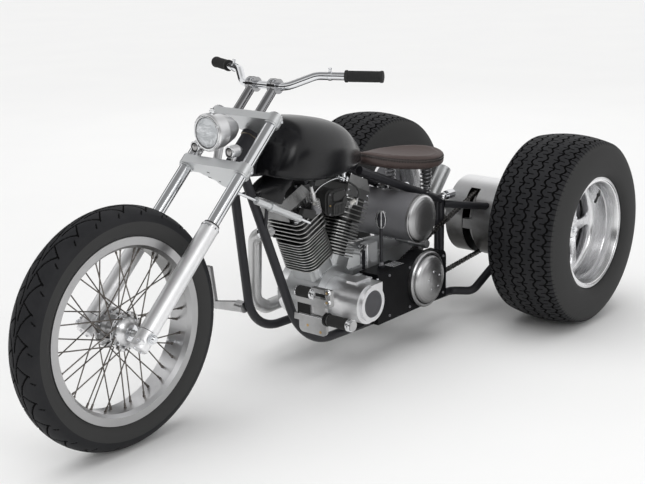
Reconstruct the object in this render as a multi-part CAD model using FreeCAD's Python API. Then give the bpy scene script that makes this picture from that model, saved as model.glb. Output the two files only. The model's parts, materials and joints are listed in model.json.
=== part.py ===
"""Motorized trike: rigid frame, V-twin engine, laced front wheel, two wide driven rear wheels.

Millimetres. +X forward, +Y to the rider's left, +Z up. The origin is on the floor, under the
middle of the overall length. Each node is written to parts/NODE.step.
"""
import FreeCAD, Part
import math
import os

os.makedirs("parts", exist_ok=True)

Vec = FreeCAD.Vector
AXIS_X = Vec(1, 0, 0)
AXIS_Y = Vec(0, 1, 0)
AXIS_Z = Vec(0, 0, 1)

# ---------------------------------------------------------------- driving sizes
WHEELBASE = 1815.0
FRONT_TYRE_R = 366.4
FRONT_TYRE_HALF_W = 59.5
FRONT_RIM_FLANGE_R = 280.0
FRONT_RIM_HALF_W = 48.0
REAR_TYRE_R = 354.7
REAR_TYRE_HALF_W = 150.0
REAR_RIM_FLANGE_R = 209.0
REAR_RIM_HALF_W = 128.0
REAR_WHEEL_Y = 460.0

FIT = 0.3                 # gap of an assembled fit
RUN = 0.5                 # radial gap of a turning fit

RAKE = 46.6               # fork angle from the vertical, degrees
STEM_OFFSET = 60.0        # steering axis behind the fork legs
LEG_Y = 118.0             # fork leg from the centre plane
SLIDER_R = 28.0
FORK_TUBE_R = 19.5
SLIDER_TOP = 391.0        # distances along the leg, up from the axle
LOWER_TREE_S = 593.0
LOWER_TREE_T = 30.0
UPPER_TREE_S = 787.0
UPPER_TREE_T = 26.0
FORK_TUBE_TOP = 806.0
NECK_R = 29.0
NECK_BORE_R = 20.0
STEM_R = 16.0
BAR_R = 12.7
RISER_Y = 47.0
BAR_S = 917.0             # handlebar centre along the fork
GRIP_R = 17.5
FRONT_AXLE_R = 10.0

TUBE_R = 15.5             # frame tube
CRADLE_Y = 118.0          # lower rails from the centre plane, at the rear
CRADLE_FRONT_Y = 116.0
RAIL_FRONT_Z = 134.0
RAIL_REAR_Z = 106.0

CRANK_X = 897.0           # from the rear axle
CRANK_Z = 245.0
BANK = 22.5               # each cylinder from the vertical, degrees
CASE_R = 105.0
CASE_HALF_W = 70.0
DECK = 138.0              # crank centre to the cylinder foot
BARREL_H = 124.0
BARREL_FINS = 11
FIN_T = 3.4
FIN_SIZE = 142.0
BANK_GAP = 1.0             # between the two banks where their fins meet
FIN_CORNER_R = 36.0
BARREL_CORE_R = 56.0
HEAD_H = 84.0
HEAD_FINS = 5
ROCKER_H = 74.0

GEARBOX_X = 546.0         # gearbox shaft from the rear axle
GEARBOX_Z = 242.0
CLUTCH_R = 102.0
HOUSING_R = 68.0
HOUSING_BORE_R = 47.0
HOUSING_FACE_Y = 236.0

OIL_X = 515.0
TANK_LIFT = 21.4          # oil tank above the clutch cover's top
OIL_R = 87.0
OIL_HALF_L = 165.0

DRUM_R = 150.0
SLOT_HALF_W = 22.0
CHAIN_Y = 120.0
PLATE_IN_Y = 136.0        # black inner plate of the primary drive
PLATE_T = 10.0
SPROCKET_R = 130.0
GEARBOX_SPROCKET_R = 68.0
AXLE_TUBE_R = 48.0
AXLE_R = 19.0

# ---------------------------------------------------------------- derived places
LENGTH = WHEELBASE + FRONT_TYRE_R + REAR_TYRE_R
FRONT_X = LENGTH / 2 - FRONT_TYRE_R
REAR_X = FRONT_X - WHEELBASE
FRONT_AXLE = Vec(FRONT_X, 0, FRONT_TYRE_R)
REAR_AXLE = Vec(REAR_X, 0, REAR_TYRE_R)
CRANK = Vec(REAR_X + CRANK_X, 0, CRANK_Z)
GEARBOX = Vec(REAR_X + GEARBOX_X, 0, GEARBOX_Z)
FORK = FreeCAD.Placement(FRONT_AXLE, FreeCAD.Rotation(AXIS_Y, -RAKE))


def at(x, y, z):
    """A place by its distance ahead of the rear axle."""
    return Vec(REAR_X + x, y, z)


def fork_at(f, y, s):
    """A place in the fork's frame: f ahead of the legs, s up along them from the axle."""
    return FORK.multVec(Vec(f, y, s))


# ---------------------------------------------------------------- shape helpers
def rod(start, end, radius):
    along = end - start
    return Part.makeCylinder(radius, along.Length, start, along)


def box(low, high):
    size = high - low
    return Part.makeBox(size.x, size.y, size.z, low)


def turned(profile, centre, axis):
    """Revolve a closed (radius, along) outline about an axis through a centre."""
    points = [Vec(radius, 0, along) for radius, along in profile]
    face = Part.Face(Part.makePolygon(points + points[:1]))
    solid = face.revolve(Vec(0, 0, 0), AXIS_Z, 360)
    if not isinstance(solid, Part.Solid):
        solid = solid.Solids[0] if solid.Solids else Part.Solid(solid)
    return set_on(solid, centre, axis)


def set_on(shape, centre, axis):
    """Carry a shape drawn about Z onto an axis through a centre."""
    placed = shape.copy()
    placed.Placement = FreeCAD.Placement(centre, FreeCAD.Rotation(AXIS_Z, axis)).multiply(placed.Placement)
    return placed


def in_fork(shape):
    placed = shape.copy()
    placed.Placement = FORK.multiply(placed.Placement)
    return placed


def mirrored(shape):
    """The same piece on the other side of the centre plane."""
    return shape.mirror(Vec(0, 0, 0), AXIS_Y)


def path_wire(points, radii):
    """Straight runs joined by tangent arcs."""
    edges = []
    last = points[0]
    for before, corner, after, radius in zip(points, points[1:], points[2:], radii):
        back = (before - corner).normalize()
        on = (after - corner).normalize()
        half = back.getAngle(on) / 2
        reach = radius / math.tan(half)
        enter = corner + back * reach
        leave = corner + on * reach
        middle_way = (back + on).normalize()
        centre = corner + middle_way * (radius / math.sin(half))
        middle = centre - middle_way * radius
        edges.append(Part.LineSegment(last, enter).toShape())
        edges.append(Part.Arc(enter, middle, leave).toShape())
        last = leave
    edges.append(Part.LineSegment(last, points[-1]).toShape())
    return Part.Wire(edges)


def bent_rod(points, radii, radius):
    """A round bar along straight runs and tangent arcs."""
    spine = path_wire(points, radii)
    circle = Part.makeCircle(radius, points[0], points[1] - points[0])
    return spine.makePipeShell([Part.Wire([circle])], True, False)


def edges_along(shape, axis):
    return [edge for edge in shape.Edges if abs(edge.tangentAt(edge.FirstParameter).dot(axis)) > 0.9]


def rounded_plate(length, width, corner, height):
    """A block on the XY plane, centred, with rounded upright corners."""
    block = Part.makeBox(length, width, height, Vec(-length / 2, -width / 2, 0))
    return block.makeFillet(corner, edges_along(block, AXIS_Z))


def joined(first, *others):
    whole = first
    for other in others:
        whole = whole.fuse(other)
    return whole.removeSplitter()


def lofted(wires):
    return Part.makeLoft(wires, True, False)


# ---------------------------------------------------------------- front wheel
BEAD_GAP = 18.0           # bead seat under the flange's lip
FLANGE_T = 4.0
RIM_WALL = 6.0
HUB_FLANGE_R = 52.0
HUB_FLANGE_Y = 36.0
HUB_FLANGE_T = 5.0
HUB_HALF_W = 62.0
SPOKE_R = 2.0
SPOKES_A_SIDE = 20
SPOKE_WRAP = 54.0         # degrees a spoke turns from the hub to the rim
TYRE_CROWN_DROP = 20.0


def front_tyre():
    seat = FRONT_RIM_FLANGE_R - BEAD_GAP + FIT
    bead_y = FRONT_RIM_HALF_W - FLANGE_T - FIT
    lip = FRONT_RIM_FLANGE_R + FIT + 1
    shoulder_r = FRONT_TYRE_R - TYRE_CROWN_DROP
    shoulder_y = FRONT_TYRE_HALF_W - 9
    bulge_r = (lip + shoulder_r) / 2
    return tyre_ring(seat, bead_y, lip, bulge_r, FRONT_TYRE_HALF_W, shoulder_r, shoulder_y, FRONT_TYRE_R)


def tyre_ring(seat, bead_y, lip, bulge_r, half_w, shoulder_r, shoulder_y, crown_r):
    """A tyre's section, turned about Z: a flat bead, bulged walls and an arched crown."""
    foot = [Vec(seat, 0, -bead_y), Vec(seat, 0, bead_y), Vec(lip, 0, bead_y)]
    edges = [Part.LineSegment(a, b).toShape() for a, b in zip(foot, foot[1:])]
    shoulder = Vec(shoulder_r, 0, shoulder_y)
    low_shoulder = Vec(shoulder_r, 0, -shoulder_y)
    low_lip = Vec(lip, 0, -bead_y)
    edges.append(Part.Arc(foot[2], Vec(bulge_r, 0, half_w), shoulder).toShape())
    edges.append(Part.Arc(shoulder, Vec(crown_r, 0, 0), low_shoulder).toShape())
    edges.append(Part.Arc(low_shoulder, Vec(bulge_r, 0, -half_w), low_lip).toShape())
    edges.append(Part.LineSegment(low_lip, foot[0]).toShape())
    face = Part.Face(Part.Wire(edges))
    ring = face.revolve(Vec(0, 0, 0), AXIS_Z, 360)
    return ring.Solids[0]


def front_rim():
    flange = FRONT_RIM_FLANGE_R
    seat = flange - BEAD_GAP
    half = FRONT_RIM_HALF_W
    inner = half - FLANGE_T
    well = seat - 10
    profile = [
        (flange, half), (flange, inner), (seat, inner), (well, inner - 12),
        (well, 12 - inner), (seat, -inner), (flange, -inner), (flange, -half),
        (seat - RIM_WALL, -half), (well - RIM_WALL, 8 - inner),
        (well - RIM_WALL, inner - 8), (seat - RIM_WALL, half),
    ]
    return turned(profile, FRONT_AXLE, AXIS_Y)


def front_hub():
    bore = FRONT_AXLE_R + RUN
    inner = HUB_FLANGE_Y - HUB_FLANGE_T / 2
    outer = HUB_FLANGE_Y + HUB_FLANGE_T / 2
    profile = [
        (bore, -HUB_HALF_W), (24, -HUB_HALF_W), (24, -outer - 8), (36, -outer), (HUB_FLANGE_R, -outer),
        (HUB_FLANGE_R, -inner), (36, -inner), (28, -inner + 10), (22, 0), (28, inner - 10), (36, inner),
        (HUB_FLANGE_R, inner), (HUB_FLANGE_R, outer), (36, outer), (24, outer + 8), (24, HUB_HALF_W),
        (bore, HUB_HALF_W),
    ]
    return turned(profile, FRONT_AXLE, AXIS_Y)


def front_spokes():
    """Four sets of spokes, crossing in pairs on the two faces of each hub flange."""
    rim_r = FRONT_RIM_FLANGE_R - BEAD_GAP - 10 - RIM_WALL - FIT
    hub_r = HUB_FLANGE_R - 6
    lift = HUB_FLANGE_T / 2 + SPOKE_R + FIT
    pitch = 360 / SPOKES_A_SIDE
    spokes = []
    for side in (1, -1):
        for index in range(SPOKES_A_SIDE):
            turn = 1 if index % 2 else -1
            rim_angle = math.radians(index * pitch + (pitch / 2 if side < 0 else 0))
            hub_angle = rim_angle + turn * math.radians(SPOKE_WRAP)
            hub_y = side * (HUB_FLANGE_Y + turn * lift + max(turn, 0) * 1.6)
            rim_y = side * 10.0
            start = FRONT_AXLE + Vec(hub_r * math.cos(hub_angle), hub_y, hub_r * math.sin(hub_angle))
            end = FRONT_AXLE + Vec(rim_r * math.cos(rim_angle), rim_y, rim_r * math.sin(rim_angle))
            spokes.append(rod(start, end, SPOKE_R))
    return Part.makeCompound(spokes)


def front_axle():
    reach = LEG_Y + SLIDER_R + 10
    return rod(FRONT_AXLE - AXIS_Y * reach, FRONT_AXLE + AXIS_Y * reach, FRONT_AXLE_R)


# ---------------------------------------------------------------- fork
SLIDER_FOOT = 42.0         # the leg runs on below the axle
PINCH_Y = 15.0


def fork_slider(side):
    """A lower leg: plain turned tube with a flat foot below the axle and its pinch bolt's boss."""
    bore = FORK_TUBE_R + FIT
    profile = [
        (0, -SLIDER_FOOT), (SLIDER_R - 3, -SLIDER_FOOT), (SLIDER_R, -SLIDER_FOOT + 3),
        (SLIDER_R, SLIDER_TOP - 4), (SLIDER_R - 3, SLIDER_TOP), (bore, SLIDER_TOP),
        (bore, SLIDER_TOP - 60), (0, SLIDER_TOP - 60),
    ]
    leg = turned(profile, Vec(0, side * LEG_Y, 0), AXIS_Z)
    boss_y = side * (LEG_Y + PINCH_Y)
    boss = rod(Vec(SLIDER_R - 22, boss_y, -24), Vec(SLIDER_R + 2, boss_y, -24), 10)
    hole = rod(Vec(0, side * (LEG_Y - 60), 0), Vec(0, side * (LEG_Y + 60), 0), FRONT_AXLE_R + FIT)
    return in_fork(leg.fuse(boss).cut(hole))


def fork_sliders():
    return Part.makeCompound([fork_slider(1), fork_slider(-1)])


def fork_tube(side):
    low = SLIDER_TOP - 60 + FIT
    return rod(fork_at(0, side * LEG_Y, low), fork_at(0, side * LEG_Y, FORK_TUBE_TOP), FORK_TUBE_R)


def fork_tubes():
    return Part.makeCompound([fork_tube(1), fork_tube(-1)])


TREE_END_R = FORK_TUBE_R + 6.5
TREE_LOBE_R = 31.0
COLLAR_H = 5.0             # clamp collars stand out above and below a tree


def tree_plate(height):
    """A clamp plate across the fork: round ends about the legs, a waist, and a lobe at the stem."""
    ends = [Part.makeCylinder(TREE_END_R, height, Vec(0, side * LEG_Y, 0)) for side in (1, -1)]
    web = Part.makeBox(2 * TREE_END_R, 2 * LEG_Y, height, Vec(-TREE_END_R, -LEG_Y, 0))
    lobe = Part.makeCylinder(TREE_LOBE_R, height, Vec(-STEM_OFFSET, 0, 0))
    cheek = lofted([
        Part.makePolygon([Vec(-STEM_OFFSET, -TREE_LOBE_R, z), Vec(0, -LEG_Y, z), Vec(0, LEG_Y, z),
                          Vec(-STEM_OFFSET, TREE_LOBE_R, z), Vec(-STEM_OFFSET, -TREE_LOBE_R, z)])
        for z in (0, height)
    ])
    collar_h = height + 2 * COLLAR_H
    plate = web.fuse(ends).fuse(lobe).fuse(cheek)
    for side in (1, -1):
        plate = plate.fuse(Part.makeCylinder(TREE_END_R - 2, collar_h, Vec(0, side * LEG_Y, -COLLAR_H)))
        bore = Part.makeCylinder(FORK_TUBE_R + FIT, collar_h + 2, Vec(0, side * LEG_Y, -COLLAR_H - 1))
        plate = plate.cut(bore)
    return plate.removeSplitter()


def lower_tree():
    base = LOWER_TREE_S - LOWER_TREE_T / 2
    plate = tree_plate(LOWER_TREE_T)
    plate.translate(Vec(0, 0, base))
    stem_top = UPPER_TREE_S - UPPER_TREE_T / 2 - FIT
    stem = Part.makeCylinder(STEM_R, stem_top - base, Vec(-STEM_OFFSET, 0, base))
    return in_fork(plate.fuse([stem, damper_lug()]).removeSplitter())


def upper_tree():
    base = UPPER_TREE_S - UPPER_TREE_T / 2
    plate = tree_plate(UPPER_TREE_T)
    plate.translate(Vec(0, 0, base))
    nut = Part.makeCylinder(19, 12, Vec(-STEM_OFFSET, 0, base + UPPER_TREE_T))
    return in_fork(plate.fuse(nut))


def fork_caps():
    caps = []
    for side in (1, -1):
        low = FORK_TUBE_TOP + FIT
        rim = FORK_TUBE_R + 1
        profile = [(0, low), (rim, low), (rim, low + 4), (rim - 4, low + 7), (0, low + 7)]
        caps.append(in_fork(turned(profile, Vec(0, side * LEG_Y, 0), AXIS_Z)))
    return Part.makeCompound(caps)


def risers():
    low = UPPER_TREE_S + UPPER_TREE_T / 2 + FIT
    pieces = []
    for side in (1, -1):
        foot = Vec(4, side * RISER_Y, low)
        head = Vec(4, side * RISER_Y, BAR_S)
        post = rod(foot, head, 15)
        clamp = rod(head - AXIS_Y * 16, head + AXIS_Y * 16, 24)
        hole = rod(head - AXIS_Y * 30, head + AXIS_Y * 30, BAR_R + FIT)
        pieces.append(in_fork(post.fuse(clamp).cut(hole)))
    return Part.makeCompound(pieces)


BAR_CENTRE = fork_at(4, 0, BAR_S)
BAR_RISE = 34.0
BAR_KINK_Y = 92.0
BAR_BEND = Vec(-62, 166, BAR_RISE)      # grip's start of sweep, from the clamp centre
BAR_END = Vec(-150, 356, BAR_RISE)
GRIP_LENGTH = 122.0


def bar_points(side):
    kink = BAR_CENTRE + Vec(0, side * BAR_KINK_Y, 0)
    bend = BAR_CENTRE + Vec(BAR_BEND.x, side * BAR_BEND.y, BAR_BEND.z)
    end = BAR_CENTRE + Vec(BAR_END.x, side * BAR_END.y, BAR_END.z)
    return [kink, bend, end]


def handlebar():
    left = bar_points(1)
    right = bar_points(-1)
    points = list(reversed(right)) + left
    return bent_rod(points, [70, 60, 60, 70], BAR_R)


def grips():
    pieces = []
    for side in (1, -1):
        kink, bend, end = bar_points(side)
        along = (bend - end).normalize()
        tip = end - along * 5
        start = tip + along * GRIP_LENGTH
        grip = rod(tip, start, GRIP_R)
        hole = rod(end, end + along * (GRIP_LENGTH + 20), BAR_R + FIT)
        pieces.append(grip.cut(hole))
    return Part.makeCompound(pieces)


HEADLIGHT_FACE = fork_at(103, 0, 646)
HEADLIGHT_R = 59.0
HEADLIGHT_DEPTH = 120.0
LENS_R = 47.0
MARKER_R = 19.0
MARKER_LENGTH = 46.0
MARKER_Y = 74.0


def headlight_shell():
    depth = HEADLIGHT_DEPTH
    radius = HEADLIGHT_R
    profile = [
        (0, -depth), (14, -depth), (26, -depth + 6), (38, -depth + 24), (47, -depth + 50), (radius - 5, -48),
        (radius - 4, -16), (radius, -14), (radius, -4), (radius - 4, 0), (LENS_R + FIT, 0),
        (LENS_R + FIT, -14), (LENS_R - 6, -14), (0, -26),
    ]
    shell = turned(profile, HEADLIGHT_FACE, AXIS_X)
    top = LOWER_TREE_S + LOWER_TREE_T / 2
    foot = fork_at(8, 0, top)
    post = rod(foot, HEADLIGHT_FACE + Vec(-52, 0, -HEADLIGHT_R + 8), 13)
    return shell.fuse(post).cut(lower_tree())


def headlight_lens():
    profile = [(0, -13), (LENS_R, -13), (LENS_R, -4), (LENS_R * 0.7, 1), (0, 4)]
    return turned(profile, HEADLIGHT_FACE, AXIS_X)


def marker_lamps():
    lamps = []
    top = LOWER_TREE_S + LOWER_TREE_T / 2
    for side in (1, -1):
        face = fork_at(50, side * MARKER_Y, 622)
        back = -MARKER_LENGTH
        profile = [(0, back), (11, back), (MARKER_R, back + 14), (MARKER_R, 0), (0, 0)]
        lamp = turned(profile, face, AXIS_X)
        foot = fork_at(16, side * MARKER_Y, top)
        lamps.append(lamp.fuse(rod(foot, face + Vec(-22, 0, -8), 7)).cut(lower_tree()))
    return Part.makeCompound(lamps)


# ---------------------------------------------------------------- frame
NECK_LOW_S = LOWER_TREE_S + LOWER_TREE_T / 2 + 8
NECK_TOP_S = UPPER_TREE_S - UPPER_TREE_T / 2 - 8
BACKBONE_R = 24.0
CUP_H = 14.0              # bearing cups at the neck's ends
CUP_LIP = 3.0
TOP_GAP = 34.4            # backbone's centre over the engine's top
ENGINE_TOP_Z = CRANK_Z + (DECK + BARREL_H + HEAD_H + ROCKER_H + 2 * FIT) * math.cos(math.radians(BANK))
BACKBONE_REAR = at(705, 0, ENGINE_TOP_Z + TOP_GAP)


def neck_axis(s):
    return fork_at(-STEM_OFFSET, 0, s)


def frame_neck():
    neck = rod(neck_axis(NECK_LOW_S), neck_axis(NECK_TOP_S), NECK_R)
    for s in (NECK_LOW_S, NECK_TOP_S - CUP_H):
        neck = neck.fuse(rod(neck_axis(s), neck_axis(s + CUP_H), NECK_R + CUP_LIP))
    backbone = bent_rod([neck_axis(715), BACKBONE_REAR], [], BACKBONE_R)
    whole = neck.fuse(backbone)
    return whole.cut(rod(neck_axis(NECK_LOW_S - 40), neck_axis(NECK_TOP_S + 40), NECK_BORE_R))


DOWNTUBE_TOP_S = 655.0
CRADLE_BEND = 190.0
CRADLE_FRONT_X = CRANK_X + 227
CRADLE_FRONT = at(CRADLE_FRONT_X, CRADLE_FRONT_Y, RAIL_FRONT_Z)
RAIL_KICK = at(254, CRADLE_Y, RAIL_REAR_Z)
RAIL_FLARE = at(209, 190, RAIL_REAR_Z)


def on_line(start, end, x):
    """The place on a line that is x ahead of the rear axle."""
    return start + (end - start) * ((REAR_X + x - start.x) / (end.x - start.x))


RAIL_SPLIT_FRONT = on_line(RAIL_KICK, CRADLE_FRONT, CRADLE_FRONT_X - 160)
RAIL_SPLIT_REAR = on_line(RAIL_KICK, CRADLE_FRONT, 340)
POST_X = 288.0
POST_Y = 92.0
SEAT_RAIL_FRONT = at(722, 44, BACKBONE_REAR.z - 16)
DOWNTUBE_TOP = neck_axis(DOWNTUBE_TOP_S) + Vec(-4, 22, -12)


def rail_drop():
    """How far the seat rails fall, so that they lie on the oil tank."""
    over = OIL_R + TUBE_R + 2 * FIT
    ahead = SEAT_RAIL_FRONT.x - at(OIL_X, 0, 0).x
    above = SEAT_RAIL_FRONT.z - OIL_Z
    slope = math.atan2(above, ahead) - math.asin(over / math.hypot(ahead, above))
    return (SEAT_RAIL_FRONT.x - at(POST_X, 0, 0).x) * math.tan(slope)


OIL_Z = GEARBOX_Z + CLUTCH_R + OIL_R + TANK_LIFT
JUNCTION = at(POST_X, POST_Y, SEAT_RAIL_FRONT.z - rail_drop())


def pair(shape):
    """A piece and its mirror image on the other side."""
    return Part.makeCompound([shape, mirrored(shape)])


def drum_space():
    return rod(REAR_AXLE - AXIS_Y * 400, REAR_AXLE + AXIS_Y * 400, DRUM_R + FIT)


def seat_rail_line(grow):
    return rod(SEAT_RAIL_FRONT, JUNCTION, TUBE_R + grow)


def backbone_space():
    along = BACKBONE_REAR - neck_axis(715)
    return rod(neck_axis(715), BACKBONE_REAR + along * 0.2, BACKBONE_R + FIT)


def downtube_line(grow):
    return bent_rod([DOWNTUBE_TOP, CRADLE_FRONT, RAIL_SPLIT_FRONT], [CRADLE_BEND], TUBE_R + grow)


def frame_downtubes():
    tube = downtube_line(0).cut(rod(neck_axis(560), neck_axis(800), NECK_R + FIT))
    tube = tube.cut(rod(neck_axis(560), neck_axis(NECK_LOW_S + CUP_H + FIT), NECK_R + CUP_LIP + FIT))
    return Part.makeCompound([tube.fuse(damper_arm()).removeSplitter(), mirrored(tube)])


def frame_lower_rails():
    return pair(rod(RAIL_SPLIT_FRONT, RAIL_SPLIT_REAR, TUBE_R))


def frame_rear_rails():
    end = REAR_AXLE + Vec(67, 235, -128)
    points = [RAIL_SPLIT_REAR, RAIL_KICK, RAIL_FLARE, end]
    return pair(bent_rod(points, [45, 45], TUBE_R).cut(drum_space()))


def frame_seat_rails():
    return pair(seat_rail_line(0).cut(backbone_space()))


POST_R = TUBE_R - 1
FRONT_POST_R = 9.5
POST_PITCH = POST_R + FRONT_POST_R + 1       # the two posts of a side stand one ahead of the other


def post_line(index, grow):
    ahead = AXIS_X * (index * POST_PITCH)
    radius = (POST_R, FRONT_POST_R)[index]
    foot = at(POST_X, POST_Y, RAIL_REAR_Z + 6)
    return rod(JUNCTION + ahead + AXIS_Z * (index * 12), foot + ahead, radius + grow)


def frame_seat_posts():
    """Two upright tubes a side, from the seat rail to the lower rail."""
    rail = rod(RAIL_SPLIT_REAR, RAIL_KICK, TUBE_R + FIT)
    posts = []
    for index in (0, 1):
        post = post_line(index, 0).cut(rail).cut(seat_rail_line(FIT))
        lowest = min(post.Solids, key=lambda piece: piece.CenterOfMass.z)
        posts += [lowest, mirrored(lowest)]
    return Part.makeCompound(posts)


def frame_struts():
    start = JUNCTION + Vec(-10, 8, -16)
    end = REAR_AXLE + Vec(112, 205, 68)
    strut = rod(start, end, 14).cut(drum_space()).cut(seat_rail_line(FIT)).cut(post_line(0, FIT))
    return pair(max(strut.Solids, key=lambda piece: piece.Volume))


CROSS_R = 12.0
CROSS_LEVEL = Vec(JUNCTION.x, 0, JUNCTION.z - 40)


def crossmember_line(grow):
    inside = POST_Y - POST_R - FIT
    return rod(CROSS_LEVEL - AXIS_Y * inside, CROSS_LEVEL + AXIS_Y * inside, CROSS_R + grow)


def frame_crossmember():
    """The tie between the two rear seat posts."""
    return crossmember_line(0)


SUPPORT_R = 27.5
SUPPORT_TOP = Vec(JUNCTION.x - 159, 0, JUNCTION.z + 84)
SUPPORT_FOOT = Vec(CROSS_LEVEL.x - 20, 0, CROSS_LEVEL.z - 30)
SUPPORT_WALL = 2.5


def rear_support_tube():
    """Open tube that leans back from the crossmember behind the seat."""
    down = (SUPPORT_FOOT - SUPPORT_TOP).normalize()
    tube = rod(SUPPORT_TOP, SUPPORT_FOOT, SUPPORT_R)
    mouth = rod(SUPPORT_TOP - down, SUPPORT_TOP + down * 60, SUPPORT_R - SUPPORT_WALL)
    whole = tube.cut(mouth).cut(crossmember_line(FIT))
    return max(whole.Solids, key=lambda piece: piece.Volume)


def rail_end_fittings():
    """Domed bush and stub on each seat rail's rear end."""
    centre = JUNCTION + Vec(6, 14, 17)
    dome = Part.makeSphere(15.5, centre)
    stub = rod(centre, centre - AXIS_X * 60, 10)
    bush = rod(centre - AXIS_X * 22, centre - AXIS_X * 62, 17)
    piece = dome.fuse([stub, bush]).cut(seat_rail_line(FIT)).cut(post_line(0, FIT))
    return pair(max(piece.Solids, key=lambda solid: solid.Volume))


# ---------------------------------------------------------------- tank and seat
TANK_SECTIONS = [
    # x, half width, and bottom and top over the backbone's rear end
    (695, 30, 8, 70),
    (790, 88, 8, 147),
    (940, 130, 22, 200),
    (1080, 140, 40, 224),
    (1136, 104, 54, 209),
    (1174, 46, 80, 150),
]


def tank_wire(x, half_w, low, high):
    bottom = BACKBONE_REAR.z + low
    top = BACKBONE_REAR.z + high
    height = top - bottom
    hip = bottom + 0.42 * height
    shoulder = bottom + 0.78 * height
    left = [at(x, 0.62 * half_w, bottom), at(x, half_w, hip), at(x, 0.74 * half_w, shoulder)]
    right = [Vec(p.x, -p.y, p.z) for p in left]
    crown = at(x, 0, top)
    edges = [
        Part.LineSegment(right[0], left[0]).toShape(),
        Part.Arc(left[0], left[1], left[2]).toShape(),
        Part.Arc(left[2], crown, right[2]).toShape(),
        Part.Arc(right[2], right[1], right[0]).toShape(),
    ]
    return Part.Wire(edges)


def tank_body():
    return lofted([tank_wire(*row) for row in TANK_SECTIONS])


def fuel_tank():
    tank = tank_body()
    rail = seat_rail_line(FIT)
    return tank.cut(backbone_space()).cut(rail).cut(mirrored(rail)).Solids[0]


SEAT_TAIL_X = 236.0
SEAT_NOSE_X = 655.0
SEAT_HALF_W = 146.0
SEAT_WAIST_X = 395.0
SEAT_T = 48.0
SEAT_TOP = [(190, 249), (420, 138), (655, 86)]      # x, and height over the seat rails, along the middle


def rail_level(x):
    return on_line(SEAT_RAIL_FRONT, JUNCTION, x).z


def seat_side(drop):
    """The arc of the seat's side view, lowered by a drop."""
    return Part.Arc(*[at(x, 0, rail_level(x) + height - drop) for x, height in SEAT_TOP])


def seat():
    """A sprung solo saddle: a pear-shaped plan cut by a dished side profile."""
    nose = at(SEAT_NOSE_X - 14, 34, 0)
    waist = at(SEAT_WAIST_X, SEAT_HALF_W - 4, 0)
    flank = at((SEAT_WAIST_X + SEAT_NOSE_X) / 2, 0.66 * SEAT_HALF_W, 0)
    low_nose, low_waist, low_flank = (Vec(p.x, -p.y, 0) for p in (nose, waist, flank))
    plan = Part.Wire([
        Part.Arc(nose, at(SEAT_NOSE_X, 0, 0), low_nose).toShape(),
        Part.Arc(low_nose, low_flank, low_waist).toShape(),
        Part.Arc(low_waist, at(SEAT_TAIL_X, 0, 0), waist).toShape(),
        Part.Arc(waist, flank, nose).toShape(),
    ])
    block = Part.Face(plan).extrude(AXIS_Z * 900)
    top = seat_side(0)
    low = seat_side(SEAT_T)
    side = Part.Wire([
        top.toShape(),
        Part.LineSegment(top.EndPoint, low.EndPoint).toShape(),
        low.toShape(),
        Part.LineSegment(low.StartPoint, top.StartPoint).toShape(),
    ])
    slab = Part.Face(side).extrude(AXIS_Y * 400)
    slab.translate(AXIS_Y * -200)
    return block.common(slab).Solids[0]


SPRING_X = 372.0
SPRING_R = 21.0
SPRING_TURNS = 5


def seat_springs():
    """Upright coils between the seat rails and the seat pan."""
    foot = on_line(SEAT_RAIL_FRONT, JUNCTION, SPRING_X) + AXIS_Z * (TUBE_R + 4)
    under = seat_side(SEAT_T + FIT).toShape().discretize(60)
    ceiling = min(point.z for point in under if abs(point.x - foot.x) < 12)
    height = ceiling - foot.z
    pitch = (height - 8) / SPRING_TURNS
    profile = [(0, -8), (SPRING_R, -8), (SPRING_R, 0)]
    for turn in range(SPRING_TURNS):
        low = 2 + turn * pitch
        profile += [(SPRING_R - 7, low), (SPRING_R, low + pitch / 2)]
    profile += [(SPRING_R - 7, height - 6), (SPRING_R, height - 4), (SPRING_R, height), (0, height)]
    spring = turned(profile, foot, AXIS_Z).cut(seat_rail_line(FIT))
    return pair(spring)


# ---------------------------------------------------------------- engine
def bank_frame(sign):
    """A cylinder's own frame: Z up along its bore from the crank, sign +1 forward, -1 rearward."""
    return FreeCAD.Placement(CRANK, FreeCAD.Rotation(AXIS_Y, sign * BANK))


def in_bank(shape, sign):
    placed = shape.copy()
    placed.Placement = bank_frame(sign).multiply(placed.Placement)
    return placed


SHAFT_BOSS_R = 58.0


def crankcase():
    body = rod(CRANK - AXIS_Y * CASE_HALF_W, CRANK + AXIS_Y * CASE_HALF_W, CASE_R)
    for sign in (1, -1):
        neck = rounded_plate(108, 2 * CASE_HALF_W - 10, 30, DECK - FIT - 20)
        neck.translate(AXIS_Z * 20)
        body = body.fuse(in_bank(neck, sign))
    boss = rod(CRANK + AXIS_Y * (CASE_HALF_W - 5), CRANK + AXIS_Y * (PLATE_IN_Y - FIT), SHAFT_BOSS_R)
    return body.fuse(boss).removeSplitter()


def own_side(shape, sign):
    """Trim a cylinder's fins where the two banks meet over the crank."""
    reach = 400
    low = CRANK + Vec(BANK_GAP if sign > 0 else -reach, -reach, 0)
    return shape.common(Part.makeBox(reach - BANK_GAP, 2 * reach, 2 * reach, low))


def cylinders():
    """Two finned barrels."""
    pitch = (BARREL_H - FIN_T) / BARREL_FINS
    barrels = []
    for sign in (1, -1):
        core = Part.makeCylinder(BARREL_CORE_R, BARREL_H, Vec(0, 0, DECK))
        fins = []
        for index in range(BARREL_FINS):
            fin = rounded_plate(FIN_SIZE, FIN_SIZE, FIN_CORNER_R, FIN_T)
            fin.translate(AXIS_Z * (DECK + pitch * index + FIN_T))
            fins.append(fin)
        barrels.append(own_side(in_bank(core.fuse(fins), sign), sign))
    return Part.makeCompound(barrels)


HEAD_LOW = DECK + BARREL_H + FIT
ROCKER_LOW = HEAD_LOW + HEAD_H + FIT
ROCKER_HALF_W = 78.0


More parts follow.
